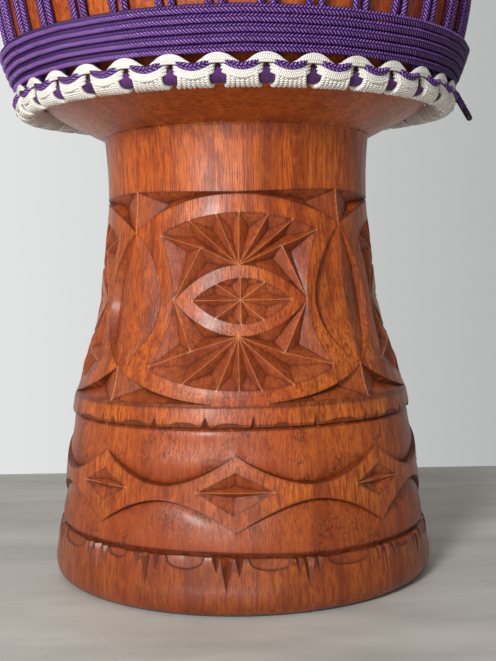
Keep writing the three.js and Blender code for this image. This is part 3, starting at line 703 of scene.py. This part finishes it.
for a, b, ax, az, d in (
    (-8.2, -5.9, -6.8, 24.4, 2.6), (-5.9, -2.2, -4.2, 14.6, 3.6), (-1.9, 0.6, -0.7, 23.4, 2.6),
    (14.4, 16.3, 15.4, 24.0, 2.4), (16.6, 19.8, 18.2, 16.0, 3.4), (20.2, 22.3, 21.1, 24.2, 2.4),
    (40.6, 42.6, 41.6, 24.8, 1.6), (43.5, 46.5, 45, 17.0, 2.5),
    (-30.8, -29.0, -29.9, 24.6, 1.6), (-28.4, -25.6, -27.0, 17.2, 2.5), (-24.9, -22.9, -23.8, 24.6, 1.6),
    (-42.6, -40.6, -41.6, 24.8, 1.6), (-46.5, -43.5, -45, 17.0, 2.5),
):
    if abs(ax) == 45:
        s = 1 if ax > 0 else -1
        x, m = (43.5 * s), 45.0 * s
        line([(x, BASE_TOP), (m, az)])
        patches.append(((x, BASE_TOP, 0), (m, az, 0), (m, BASE_TOP, d)))
        patches.append(((x, BASE_TOP, 0), (m, BASE_TOP, d), (m, BASE_TOP + 0.5, d * 0.55)))
        patches.append(((x, BASE_TOP, 0), (x, BASE_TOP + 0.5, 0), (m, BASE_TOP + 0.5, d * 0.55)))
    else:
        nick(None, BASE_TOP, a, b, (ax, az), d, 1)


def moon(c, w, edge_z, far_z, depth, wall, out):
    """A shallow scoop that opens at a band's edge."""
    n = 18
    arc = []
    for i in range(n + 1):
        x = -1 + 2 * i / n
        arc.append((c + w * x, edge_z + (far_z - edge_z) * math.sqrt(max(0, 1 - x * x)) ** 0.9))
    inner = [(c + (p[0] - c) * 0.93, edge_z + (p[1] - edge_z) * 0.9) for p in arc]
    line(arc); line(inner)
    hub = (c, edge_z)
    for i in range(n):
        a, b, ia, ib = arc[i], arc[i + 1], inner[i], inner[i + 1]
        patches.append(((*a, 0), (*b, 0), (*ia, wall)))
        patches.append(((*b, 0), (*ib, wall), (*ia, wall)))
        patches.append(((*ia, wall), (*ib, wall), (*hub, depth)))
    patches.append(((*arc[0], 0), (*hub, depth), (c, edge_z + out, depth * 0.5)))
    patches.append(((*arc[-1], 0), (*hub, depth), (c, edge_z + out, depth * 0.5)))
    line([arc[0], hub]); line([hub, arc[-1]])


for c, w, far in ((-15.6, 5.6, 25.8), (7.6, 6.0, 26.3), (31.4, 7.6, 26.6), (-36.6, 3.4, 28.2)):
    moon(c, w, BASE_TOP, far, 1.7, 0.7, 0.5)
for a, b, ax, az in ((-11.8, -8.8, -10.3, 105), (3.0, 5.0, 4.2, 105.2), (22.4, 24.6, 23.5, 104.6), (-27.6, -25.4, -26.5, 103.6), (41.0, 43.4, 42, 104), (-43.8, -41.4, -42.6, 103.4)):
    nick(None, 99.3, a, b, (ax, az), 1.9, -1)
for c, w, far in ((-17, 4.6, 102.0), (-3.4, 4.2, 101.7), (12.5, 2.6, 101.4), (32.5, 6.0, 101.6), (-34.0, 5.0, 101.8)):
    moon(c, w, 99.3, far, 1.0, 0.4, -0.5)

# the raised net's curved edges
CROSS = [(-45.0, -1.5), (-1.5, 45.0)]
WALL = 0.75


def net(theta):
    """(how far between two crossings, from -1 to 1, edge above, edge below) for an angle in the sector."""
    theta = np.asarray(theta, float)
    c = np.where(theta < -1.5, -23.25, 21.75)
    h = np.where(theta < -1.5, 21.75, 23.25)
    f = np.clip((theta - c) / h, -1, 1)
    a = np.abs(f) ** 1.8
    return f, 68.3 + 16.5 * a, 60.6 - 16.2 * a


for a, b in CROSS:
    xs = np.linspace(a, b, 46)
    f, zu, zl = net(np.clip(xs, a + 1e-6, b - 1e-6))
    w = WALL * (1 - np.abs(f) ** 4)
    line([(x, z) for x, z in zip(xs, zu)])
    line([(x, z) for x, z in zip(xs, zl)])
    line([(x, z) for x, z in zip(xs[1:-1], (zu + w)[1:-1])])
    line([(x, z) for x, z in zip(xs[1:-1], (zl - w)[1:-1])])

# level lines where the turned profile breaks
for z in (0.0, 1.2, BASE_TOP, 32.7, 33.5, 35.0, 97.2, BULGE_TOP, 99.3, 100.5, STEP_TOP, 110.3):
    line([(-45.0, z), (45.0, z)])
COLS = 48
line([(-45 + 90 * i / COLS, NECK_TOP) for i in range(COLS + 1)])
line([(-45 + 90 * i / COLS, 0.0) for i in range(COLS + 1)])

# the seams between sectors carry the same points on both sides
seam_z = set([0.0, 227.2, 111.6, Z_TOP, Z_LOW, 74.0, 57.0, 65.5, 68.1, 62.9, 17.0, BASE_TOP + 0.5, float(net(45.0)[1]), float(net(45.0)[2])])
for z in (1.2, BASE_TOP, 32.7, 33.5, 35.0, 97.2, BULGE_TOP, 99.3, 100.5, STEP_TOP, 110.3, NECK_TOP):
    seam_z.add(z)
seam_z |= set(float(z) for z in zs)
grid_z = np.arange(SPACING, NECK_TOP, SPACING)
for z in grid_z:
    if min(abs(z - q) for q in seam_z) > 0.7:
        seam_z.add(float(z))
seam_z = sorted(seam_z)
for s in (45.0, -45.0):
    lines.append([(s, z) for z in seam_z])

verts2, edges2, index = [], [], {}


def vid(p):
    k = (round(p[0], 4), round(p[1], 4))
    if k not in index:
        index[k] = len(verts2)
        verts2.append((k[0] * U, k[1]))
    return index[k]


for ln in lines:
    ids = [vid(p) for p in ln]
    edges2 += [(a, b) for a, b in zip(ids, ids[1:]) if a != b]

# strips beside the ridges, for their light lines (partly worn wood, partly painted highlight), then the plain grid
# between the lines
extra = []
for rd in ridges:
    for a, b in zip(rd, rd[1:]):
        d = np.array([(b[0] - a[0]) * U, b[1] - a[1]])
        ln = np.linalg.norm(d)
        nrm = np.array([-d[1], d[0]]) / ln
        for i in range(1, max(2, int(ln / 1.5))):
            k_ = i / max(2, int(ln / 1.5))
            for s in (1, -1):
                q = np.array([a[0] * U, a[1]]) + d * k_ + nrm * 0.5 * s
                if abs(q[0]) < 45 * U - 0.5 and min(k_, 1 - k_) * ln > 1.6:
                    extra.append(q)
fixed = np.array(verts2)
cells = {}


def bucket(p):
    return (int(math.floor(p[0] / 2)), int(math.floor(p[1] / 2)))


for p in fixed:
    cells.setdefault(bucket(p), []).append(p)


def clear_of(p, gap):
    bx, by = bucket(p)
    for i in (-1, 0, 1):
        for j in (-1, 0, 1):
            for q in cells.get((bx + i, by + j), ()):
                if (q[0] - p[0]) ** 2 + (q[1] - p[1]) ** 2 < gap * gap:
                    return False
    return True


for q in extra:
    if clear_of(q, 0.45):
        verts2.append((float(q[0]), float(q[1])))
        cells.setdefault(bucket(q), []).append(q)
nx = int(90 * U / SPACING)
for j, z in enumerate(np.arange(SPACING / 2, NECK_TOP, SPACING)):
    step = 90 * U / nx
    for i in range(nx):
        x = -45 * U + (i + 0.5 + 0.25 * (j % 2)) * step
        q = np.array([x, z])
        if abs(x) < 45 * U - 0.8 and clear_of(q, 0.95):
            verts2.append((float(x), float(z)))

out_v, _, out_f, *_ = delaunay_2d_cdt([Vector(v) for v in verts2], edges2, [], 0, 1e-5)
sv = np.array([(v[0] / U, v[1]) for v in out_v])
sv[:, 0] = np.where(np.abs(np.abs(sv[:, 0]) - 45) < 2e-4, np.sign(sv[:, 0]) * 45.0, sv[:, 0])
sf = np.array([f for f in out_f], np.int64)
print("sector", len(sv), "points", len(sf), "triangles", len(edges2), "lines")

TRI = np.array(patches, float)      # n, 3, (theta, z, depth)


def carve(pts):
    """Depth below the turned surface, in mm, at (theta, z) points in the sector."""
    d = np.zeros(len(pts))
    x, z = pts[:, 0] * U, pts[:, 1]
    for tri in TRI:
        (x0, z0, d0), (x1, z1, d1), (x2, z2, d2) = tri
        x0, x1, x2 = x0 * U, x1 * U, x2 * U
        m = np.nonzero((x >= min(x0, x1, x2) - 1e-3) & (x <= max(x0, x1, x2) + 1e-3) & (z >= min(z0, z1, z2) - 1e-3) & (z <= max(z0, z1, z2) + 1e-3))[0]
        if not len(m):
            continue
        det = (z1 - z2) * (x0 - x2) + (x2 - x1) * (z0 - z2)
        if abs(det) < 1e-7:
            continue
        a = ((z1 - z2) * (x[m] - x2) + (x2 - x1) * (z[m] - z2)) / det
        b = ((z2 - z0) * (x[m] - x2) + (x0 - x2) * (z[m] - z2)) / det
        c = 1 - a - b
        inside = (a > -2e-3) & (b > -2e-3) & (c > -2e-3)
        mm = m[inside]
        d[mm] = np.maximum(d[mm], a[inside] * d0 + b[inside] * d1 + c[inside] * d2)
    th = pts[:, 0]
    # leaf panels
    e = np.array([oval_edge(q) if Z_LOW < q < Z_TOP else 999.0 for q in z])
    w = np.array([oval_w(q) if Z_LOW < q < Z_TOP else 0.0 for q in z])
    g = e + 2.3 * w ** 0.8
    q = np.clip((np.abs(th) - g) / np.maximum(45.0 - g, 1e-3), 0, 1)
    leaf = 4.0 * w ** 0.7 * (1 - q) ** 1.25 + 0.5 * w * q
    d = np.where((np.abs(th) > g - 1e-6) & (w > 0), np.maximum(d * 0, leaf), d)
    # pillows above and below the net
    f, zu, zl = net(th)
    wall = np.maximum(WALL * (1 - np.abs(f) ** 4), 1e-4)
    hold = 4.4 * (1 - np.abs(f) ** 2.6)
    up_t = np.clip((z - zu) / (97.0 - zu), 0, 1)
    up_d = hold * (0.5 * (1 - up_t) ** 2.0 + 0.5 * np.exp(-np.clip(z - zu, 0, 99) / 3.4)) * np.clip((z - zu) / wall, 0, 1)
    dn_t = np.clip((zl - z) / (zl - 34.0), 0, 1)
    dn_d = hold * (0.5 * (1 - dn_t) ** 2.0 + 0.5 * np.exp(-np.clip(zl - z, 0, 99) / 3.4)) * np.clip((zl - z) / wall, 0, 1)
    d = np.where((z > zu) & (z < 97.0), np.maximum(d, up_d), d)
    d = np.where((z < zl) & (z > 34.0), np.maximum(d, dn_d), d)
    return d


depth = carve(sv)
centre_pts = sv[sf].mean(1)
centre_d = carve(centre_pts)
cz, ct = centre_pts[:, 1], centre_pts[:, 0]
f_, zu_, zl_ = net(ct)
in_recess = ((cz > zu_) & (cz < BULGE_TOP)) | ((cz < zl_) & (cz > 32.7))
in_oval = np.array([Z_LOW < z < Z_TOP and abs(a) > oval_edge(z) + 2.3 * oval_w(z) ** 0.8 for a, z in centre_pts])
cut_f = np.where((centre_d > 0.12) & ~in_recess & ~in_oval, 1.0, 0.0)
cut_f = np.where(in_oval, 0.25, cut_f)
vz = sv[:, 1]
f2, zu2, zl2 = net(sv[:, 0])
recess_v = np.where(((vz > zu2 - 0.05) & (vz < BULGE_TOP + 0.2)) | ((vz < zl2 + 0.05) & (vz > 32.5)), 1.0, 0.0)


def near_lines(many, width):
    near = np.zeros(len(sv))
    for rd in many:
        for a, b in zip(rd, rd[1:]):
            p0, p1 = np.array([a[0] * U, a[1]]), np.array([b[0] * U, b[1]])
            d = p1 - p0
            if d @ d < 1e-9:
                continue
            q = sv * [U, 1] - p0
            t_ = np.clip((q @ d) / (d @ d), 0, 1)
            near = np.maximum(near, np.clip(1 - np.linalg.norm(q - t_[:, None] * d, axis=1) / width, 0, 1))
    return near


# nearness to a ridge, for its light line: partly worn wood, partly painted highlight
wear_and_highlight_v = near_lines(ridges, 0.42)
inside = np.array([Z_LOW + 1 < z < Z_TOP - 1 and abs(a) > oval_edge(z) + 0.4 for a, z in sv])
# nearness to outlines and valleys, for their painted shade and polish line
groove_v = np.where((wear_and_highlight_v > 0.2) | inside, 0, near_lines(grooves, 0.3))
wear_and_highlight_v = np.where(depth < 0.9, wear_and_highlight_v, 0)

# four sectors, joined at their seams, then the bowl, rim, bore and foot as turned rings
all_v, all_f, key, material_f, cut_all, wear_and_highlight_all, recess_all, deep_all, groove_all = [], [], {}, [], [], [], [], [], []


def wobble(theta, z):
    """The hand tool's slight unevenness."""
    a = np.radians(theta)
    return (
        0.16 * np.sin(3 * a + z / 31.0 + 1) + 0.12 * np.sin(7 * a - z / 17.0 + 2.2) + 0.08 * np.sin(13 * a + z / 9.5)
        + 0.06 * np.sin(19 * a - z / 6.1 + 0.7)
    )


def shift(theta, z):
    """No two sides are quite alike, and the front stays where it is."""
    a = np.radians(theta)
    back = (1 - np.cos(a)) / 2
    dt = back * (0.55 * np.sin(2 * a + z / 40.0) + 0.35 * np.sin(5 * a - z / 23.0 + 1.3))
    dz = back * (0.45 * np.sin(3 * a + z / 37.0 + 0.4) + 0.3 * np.sin(6 * a + z / 19.0))
    keep = np.clip(np.minimum(z - 0.5, NECK_TOP - z) / 12.0, 0, 1)
    t180 = (theta + 180) % 360 - 180
    slant = -3.0 * (np.clip((t180 + 8) / 34, 0, 1) ** 1.0) * np.clip((135 - t180) / 45, 0, 1) * np.exp(-((z - 32) / 17.0) ** 2)
    slant = slant + 3.2 * np.exp(-((t180 - 43) / 15.0) ** 2) * np.exp(-((z - 203) / 14.0) ** 2)
    near = np.ones_like(z)
    for level in (BASE_TOP, BULGE_TOP, STEP_TOP):
        near = np.minimum(near, np.clip(np.abs(z - level) / 9.0, 0, 1))
    return dt * keep, dz * keep * near + slant * keep


def place(theta, z, d, fade=1.0):
    dt, dz = shift(theta, z)
    r = outside(z + 0.0) - d + wobble(theta, z) * fade * np.clip(z / 6.0, 0, 1)
    return polar(theta + dt, r, z + dz)


for k4 in range(4):
    th = sv[:, 0] + 90 * k4
    pos = place(th, sv[:, 1], depth)
    ids = []
    for i in range(len(sv)):
        if abs(abs(sv[i, 0]) - 45) < 1e-6:
            kk = (round((th[i] % 360) * 100), round(sv[i, 1] * 1000))
            if kk in key:
                ids.append(key[kk])
                continue
            key[kk] = len(all_v)
        elif sv[i, 1] < 1e-6 or sv[i, 1] > NECK_TOP - 1e-6:
            kk = (round((th[i] % 360) * 100), round(sv[i, 1] * 1000))
            key[kk] = len(all_v)
        ids.append(len(all_v))
        all_v.append(pos[i])
        # depth, kept for the painted shade in the hollows
        deep_all.append(min(1.0, depth[i] / 5.0))
        groove_all.append(groove_v[i])
        wear_and_highlight_all.append(wear_and_highlight_v[i])
        recess_all.append(recess_v[i])
    ids = np.array(ids)
    all_f += [tuple(f) for f in ids[sf]]
    material_f += [0] * len(sf)
    cut_all += list(cut_f)

ring_t = [(-45 + 90 * i / COLS + 90 * k4) % 360 for k4 in range(4) for i in range(COLS)]
RN = len(ring_t)


def find_ring(z):
    return [key[(round(t * 100) % 36000, round(z * 1000))] for t in ring_t]


def make_ring(r, z, rough=0.0):
    a = np.array(ring_t)
    rr = r + rough * (np.sin(np.radians(5 * a) + z / 9.0) * 0.5 + np.sin(np.radians(11 * a) - z / 14.0 + 1) * 0.35 + np.sin(np.radians(23 * a) + z / 6.0) * 0.25)
    first = len(all_v)
    all_v.extend(polar(a, rr, np.full(len(a), float(z))))
    wear_and_highlight_all.extend([0.0] * RN)
    deep_all.extend([0.0] * RN)
    groove_all.extend([0.0] * RN)
    recess_all.extend([0.0] * RN)
    return list(range(first, first + RN))


def join(r0, r1, mat=0, cut=0.0):
    for i in range(RN):
        j = (i + 1) % RN
        all_f.append((r0[i], r0[j], r1[j], r1[i]))
        material_f.append(mat)
        cut_all.append(cut)


prev = find_ring(NECK_TOP)
for z in [262.75, 264, 266, 269, 272, 275, 278.5, 281, 283, 285, 288, 291, 295, 299, 304, 309, 315, 322, 330, 338, 347, 357, 370, 390, 410, 430, 455, 480, 505, 530, 555, 575, 590]:
    r = float(seg_bowl(z))
    ring = make_ring(r - 0.15, z, 0.16 if z > 264 else 0.0)
    join(prev, ring)
    prev = ring
for r, z, mat in ((159.6, 597.0, 0), (159.3, 598.4, 0), (158.4, 599.4, 0), (156.8, 599.7, 0), (155.4, 598.8, 1)):
    ring = make_ring(r, z)
    join(prev, ring, mat)
    prev = ring
for z in [594, 586, 578, 560, 540, 515, 490, 465, 440, 415, 395, 375, 358, 342, 330, 318, 308, 298, 288, 278, 270, 264, 258, 252, 246, 240, 230, 218, 205, 190, 175, 160, 145, 130, 115, 100, 85, 70, 55, 40, 28, 18, 9, 3, 1.0]:
    ring = make_ring(float(bore(z)), z, 0.7)
    join(prev, ring, 1)
    prev = ring
for r, z in ((93.9, 0.25), (94.8, 0.05), (102, 0.02), (109, 0.02)):
    ring = make_ring(r, z)
    join(prev, ring, 1)
    prev = ring
join(prev, find_ring(0.0), 1)

shell = new_mesh("shell_carved", np.array(all_v) * MM, all_f, sharp=17)
assert len(shell.data.polygons) == len(all_f), "faces were dropped"
shell.data.polygons.foreach_set("material_index", np.array(material_f, np.int32))
corner_attr(shell, "cut", cut_all)
point_attr(shell, "wear_and_highlight", wear_and_highlight_all)
point_attr(shell, "recess", recess_all)
point_attr(shell, "deep", deep_all)
point_attr(shell, "groove", groove_all)
shell.data.materials.append(WOOD)
shell.data.materials.append(WOOD_IN)
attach(shell, "root")
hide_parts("shell")

# ------------------------------------------------------------------ rope work

def back_rise(deg):
    """How far the low ring and its loops sit higher round the back, in mm."""
    a = np.abs((np.asarray(deg, float) + 180) % 360 - 180)
    k = np.clip((a - 72) / 60.0, 0, 1)
    return 4.2 * k * k * (3 - 2 * k)


def shell_r(z):
    return float(outside(z))


# the belt: one rope wound round in a helix
rounds = 360 * BELT_TURNS
deg = np.linspace(180, 180 + rounds, int(rounds / 1.5))
turn = np.floor((deg - 180) / 360 + 1e-9)
part = np.clip(((deg - 180) / 360 - turn - 0.78) / 0.22, 0, 1)
zz = BELT_Z - 0.3 + 4.36 * (turn + part * part * (3 - 2 * part))
slack = 0.22 * np.sin(np.radians(deg) * 7.0 + 0.6 * np.floor((deg - 180) / 360)) + 0.12 * np.sin(np.radians(deg) * 17.0 + 1.1)
rr = np.array([shell_r(z) for z in zz]) + 6.9 + 0.15 * np.sin(np.radians(deg) * LACES)
path = polar(deg, rr, zz + slack * 0.6)
pts, run = resample(path, pitch3)
t = Tubes()
t.add(pts, run, ROPE_R + 0.1, 12, braid=0.22)
belt = give(t.mesh("belt_rope_braid"), ROPE, "belt_rope", slot="rope")

# the lacing: a pair of runs at each loop, one rope turning at the bottom and the top loops
t = Tubes()
fine_z = 352.0
for i in range(LACES):
    th = LACE_PHASE + LACE_STEP * i
    j1, j2 = rng.uniform(-0.15, 0.15, 2)
    up_ = float(back_rise(th + LACE_STEP / 2))
    low = [(th + LACE_STEP / 2, 132.3, 282.3 + up_), (th + 2.9, 131.9, 283.7 + up_ * 0.9), (th + 1.5, 130.0, 286.6), (th + 1.4 + j1, 127.9, 291.0)]
    left = [(th + 1.4 + j1, shell_r(z) + 2.0, z) for z in (295, 301, 307, 314, 322, 332, 342, 352)]
    nxt = th + LACE_STEP
    right = [(nxt - 1.4 + j2, shell_r(z) + 2.0, z) for z in (352, 342, 332, 322, 314, 307, 301, 295)]
    low2 = [(nxt - 1.4 + j2, 127.9, 291.0), (nxt - 1.5, 130.0, 286.6), (nxt - 2.9, 131.9, 283.7 + up_ * 0.9)]
    whole = spline([polar(*p) for p in left[::-1] + low[::-1] + low2[::-1] + right[::-1]], 8)
    pts, run = resample(whole, pitch3)
    t.add(pts, run, ROPE_R - 0.03, 8, braid=0.17, cap=False)
    for side, jj in ((1.4, j1), (-1.4, j2)):
        at = th + side + jj if side > 0 else th + LACE_STEP - 1.4 + j2
        up = [(at, shell_r(z) + 2.0, z) for z in (352, 380, 410, 440)]
        up += [(at + 0.2 * (1 if side > 0 else -1), 161.2, 490), (at, 167.2, 530), (at, 171.2, 556), (at, 173.6, 564)]
        pts, run = resample(spline([polar(*p) for p in up], 6), 5.2)
        t.add(pts, run, ROPE_R - 0.03, 8, cap=False)
    over = [(th - 1.4, 173.6, 564), (th - 1.1, 174.8, 567), (th, 175.4, 568.2), (th + 1.1, 174.8, 567), (th + 1.4, 173.6, 564)]
    pts, run = resample(spline([polar(*p) for p in over], 6), 1.6)
    t.add(pts, run, ROPE_R - 0.05, 8, cap=False)
lacing = give(t.mesh("lacing_rope_braid"), ROPE, "lacing_rope", slot="rope")


def loops(name, node, ring_r, ring_z, tube, flip, phase):
    """White cord: a ribbed bundle round the ring, smile strands over it, and a cap between two bundles."""
    t = Tubes()
    SR = 0.78
    scale = 132.0 / (ring_r + 5.5)

    def put(points, radius=SR, sides=8, step=1.3):
        q = []
        for a, r, z in points:
            q.append(polar(a, r, ring_z - z if flip else ring_z + z + back_rise(a) * (1.0 if z < 4.0 else 0.25)))
        pts, run = resample(spline(q, 6), step)
        t.add(pts, run, radius, sides)

    RR = 1.3
    for i in range(LACES):
        b = phase + LACE_STEP * i
        wob = rng.uniform(-1, 1, 16)
        # ribs round the ring, narrow at the middle
        lean = 0.25 * wob[15]
        for m in range(7):
            u = (m - 3) / 3
            rib = []
            for phi in (30, 12, -8, -30, -52, -76, -104, -132, -160):
                half = 2.95 + 0.4 * min(2.4, ((phi + 18) / 60.0) ** 2)
                dist = tube + RR - 0.1
                rib.append((
                    b + (u * half + lean * phi / 60.0) * scale + 0.06 * wob[m], ring_r + dist * math.cos(math.radians(phi)), dist * math.sin(math.radians(phi)),
                ))
            if not flip:
                up_ = float(back_rise(b))
                rib.append((rib[-1][0], shell_r(ring_z + up_ + 2.4) + 1.2, 2.4))
            put(rib, RR, 8, 1.2)
        # smile strands across the bundle's top
        for m in range(3):
            s = []
            for x in (-1, -0.75, -0.4, 0, 0.4, 0.75, 1):
                sag = 0.2 - 1.32 * m + 0.1 * wob[7 + m]
                rise = (4.3 - 0.55 * m) * abs(x) ** 1.9
                ww = (4.55 - 0.12 * m) * scale
                s.append((b + x * ww, ring_r + tube + RR + 0.75 - 2.2 * abs(x) ** 4, sag + rise))
            put(s, SR * 1.08)
        # the cap between this bundle and the next
        c = b + LACE_STEP / 2
        for m in range(4):
            s = []
            for x in (-1, -0.78, -0.42, 0, 0.42, 0.78, 1):
                top = 5.2 + 1.15 * m
                s.append((c + x * (5.1 - 0.3 * m) * scale, ring_r + tube + 3.0 - 0.3 * abs(m - 1.5) - 1.6 * abs(x) ** 3, 4.1 + 0.1 * m + (top - 4.1) * (1 - abs(x) ** 2.1) + 0.08 * wob[10 + m]))
            put(s, SR * (1.08 if m in (1, 2) else 0.98))
    return give(t.mesh(name), CORD, node, slot="loop_cord")


loops("bottom_loop_cord", "bottom_loops", RING_R, RING_Z, RING_TUBE, False, LACE_PHASE + LACE_STEP / 2)
loops("top_loop_cord", "top_loops", CROWN_R, CROWN_Z, CROWN_TUBE, True, LACE_PHASE)


def cloth_ring(name, node, ring_r, ring_z, tube, lift=False):
    """A metal ring wound with a strip of cloth, whose laps show as slanted folds."""
    m, sides = 408, 18
    a = np.linspace(0, 360, m, endpoint=False)
    ang = np.linspace(0, 2 * math.pi, sides, endpoint=False)
    laps = 96
    v = []
    for th in a:
        ph = (th / 360 * laps + ang / (2 * math.pi)) % 1.0
        rr_ = tube + 0.2 * ph - 0.16 * np.exp(-((ph - 0.02) / 0.09) ** 2) + 0.1 * np.sin(np.radians(th) * 41 + 3 * ang)
        v.append(polar(np.full(sides, th), ring_r + rr_ * np.cos(ang), ring_z + rr_ * np.sin(ang) + (float(back_rise(th)) if lift else 0.0)))
    v = np.array(v).reshape(-1, 3)
    f = [(i * sides + j, ((i + 1) % m) * sides + j, ((i + 1) % m) * sides + (j + 1) % sides, i * sides + (j + 1) % sides) for i in range(m) for j in range(sides)]
    o = new_mesh(name, v * MM, f, sharp=40)
    point_attr(o, "along", np.repeat(np.radians(a) * ring_r, sides))
    point_attr(o, "around", np.tile(ang, m))
    return give(o, CLOTH, node, slot="ring_cloth")


cloth_ring("bottom_ring_cloth", "bottom_ring", RING_R, RING_Z, RING_TUBE, lift=True)
cloth_ring("crown_ring_cloth", "crown_ring", CROWN_R, CROWN_Z, CROWN_TUBE)

# ------------------------------------------------------------------ the goatskin head

SKIN_PROFILE = [
    (0, 601.7), (30, 601.7), (60, 601.7), (90, 601.7), (115, 601.7), (135, 601.7), (150, 601.7), (157.4, 601.5), (160.2, 600.6), (161.9, 598.6),
    (162.5, 595.6), (162.7, 586), (162.9, 576), (163.2, 567.5), (165.4, 564.6), (168.2, 563.2), (169.8, 560.6), (169.2, 556.4), (167, 554.4),
    (163.6, 554.0), (161.7, 555.2), (161.4, 565), (161.3, 580), (161.2, 592), (160.6, 597.2), (157.8, 600.3), (150, 600.5), (110, 600.5), (60, 600.5), (0, 600.5),
]
m = 200
va, fa = [], []
for k_, (r, z) in enumerate(SKIN_PROFILE):
    a = np.linspace(0, 360, m, endpoint=False)
    ar = np.radians(a)
    ruck = 0.0
    if 1 < r and z < 597 and r > 161.9:
        ruck = 0.28 * np.sin(ar * LACES + 0.8) + 0.16 * np.sin(ar * 57 + 2)
    edge_z = z + (0.9 * np.sin(ar * 7 + 1) + 0.5 * np.sin(ar * 19) if z < 558 else 0 * ar)
    dent = -0.12 * np.sin(ar * 3 + r / 40) * (1 if 0 < r < 150 and z > 601 else 0)
    va.append(polar(a, np.maximum(r, 0.01) + ruck, edge_z + dent))
    if k_:
        b0, b1 = (k_ - 1) * m, k_ * m
        fa += [(b0 + i, b1 + i, b1 + (i + 1) % m, b0 + (i + 1) % m) for i in range(m)]
fa.append(tuple(range(m - 1, -1, -1)))
fa.append(tuple(range((len(SKIN_PROFILE) - 1) * m, len(SKIN_PROFILE) * m)))
head = new_mesh("goatskin_head", np.vstack(va) * MM, fa, sharp=50)
give(head, SKIN, "skin_head", slot="skin")

# ------------------------------------------------------------------ floor, light and air

fl = bpy.data.meshes.new("floor")
fl.from_pydata([(-3, -1.6, 0), (3, -1.6, 0), (3, 0.294, 0), (-3, 0.294, 0)], [], [(0, 1, 2, 3)])
floor = bpy.data.objects.new("floor", fl)
scene.collection.objects.link(floor)
n = N("floor_grey")
mot = n.noise(n.coords(scale=(7, 22, 1)), 1.0, 5, 0.6)
speck = n.noise(n.coords(scale=(140, 140, 1)), 1.0, 3, 0.6)
col = n.mix(n.rng(mot, 0.35, 0.7), srgb(204, 205, 202), srgb(176, 177, 174))
col = n.mix(n.rng(speck, 0.64, 0.74, 0.0, 0.4), col, srgb(150, 148, 144))
fl.materials.append(n.done(col, 0.6))

world = bpy.data.worlds.new("world")
scene.world = world
world.use_nodes = True
wt = world.node_tree
wt.nodes.clear()
wo = wt.nodes.new("ShaderNodeOutputWorld")
bg = wt.nodes.new("ShaderNodeBackground")
tc = wt.nodes.new("ShaderNodeTexCoord")
sep = wt.nodes.new("ShaderNodeSeparateXYZ")


def wnode(kind, inputs, **props):
    nd = wt.nodes.new(kind)
    for k, v in props.items():
        setattr(nd, k, v)
    for k, v in inputs.items():
        if isinstance(v, bpy.types.NodeSocket):
            wt.links.new(v, nd.inputs[k])
        else:
            nd.inputs[k].default_value = v
    return nd


wt.links.new(tc.outputs["Generated"], sep.inputs[0])
across = wnode("ShaderNodeMapRange", {"Value": sep.outputs["X"], "From Min": -0.22, "From Max": 0.26}).outputs[0]
wall = wnode("ShaderNodeMix", {0: across, 6: (*srgb(226, 228, 228), 1), 7: (*srgb(178, 180, 179), 1)}, data_type="RGBA").outputs[2]
side = wnode("ShaderNodeMapRange", {"Value": sep.outputs["X"], "From Min": -0.9, "From Max": 0.6, "To Min": 0.0, "To Max": 1.0}).outputs[0]
room = wnode("ShaderNodeMix", {0: side, 6: (0.42, 0.38, 0.33, 1), 7: (0.25, 0.24, 0.23, 1)}, data_type="RGBA").outputs[2]
facing = wnode("ShaderNodeMapRange", {"Value": sep.outputs["Y"], "From Min": 0.55, "From Max": 0.88}).outputs[0]
both = wnode("ShaderNodeMix", {0: facing, 6: room, 7: wall}, data_type="RGBA").outputs[2]
wt.links.new(both, bg.inputs[0])
wt.links.new(bg.outputs[0], wo.inputs[0])
bg.inputs[1].default_value = 1.0


def area(name, where, at, size, power, colour=(1, 1, 1)):
    d = bpy.data.lights.new(name, "AREA")
    d.shape, d.size, d.energy, d.color = "DISK", size, power, colour
    o = bpy.data.objects.new(name, d)
    o.location = where
    o.rotation_euler = (Vector(at) - Vector(where)).to_track_quat("-Z", "Y").to_euler()
    scene.collection.objects.link(o)
    return o


area("window", (-0.56, -1.32, 0.66), (0, 0, 0.2), 0.36, 20.0, (1.0, 0.98, 0.95))
area("bounce", (-0.1, -1.3, 0.04), (0, 0, 0.26), 0.8, 4.0, (1.0, 0.95, 0.9))
scene.view_settings.view_transform = "Standard"
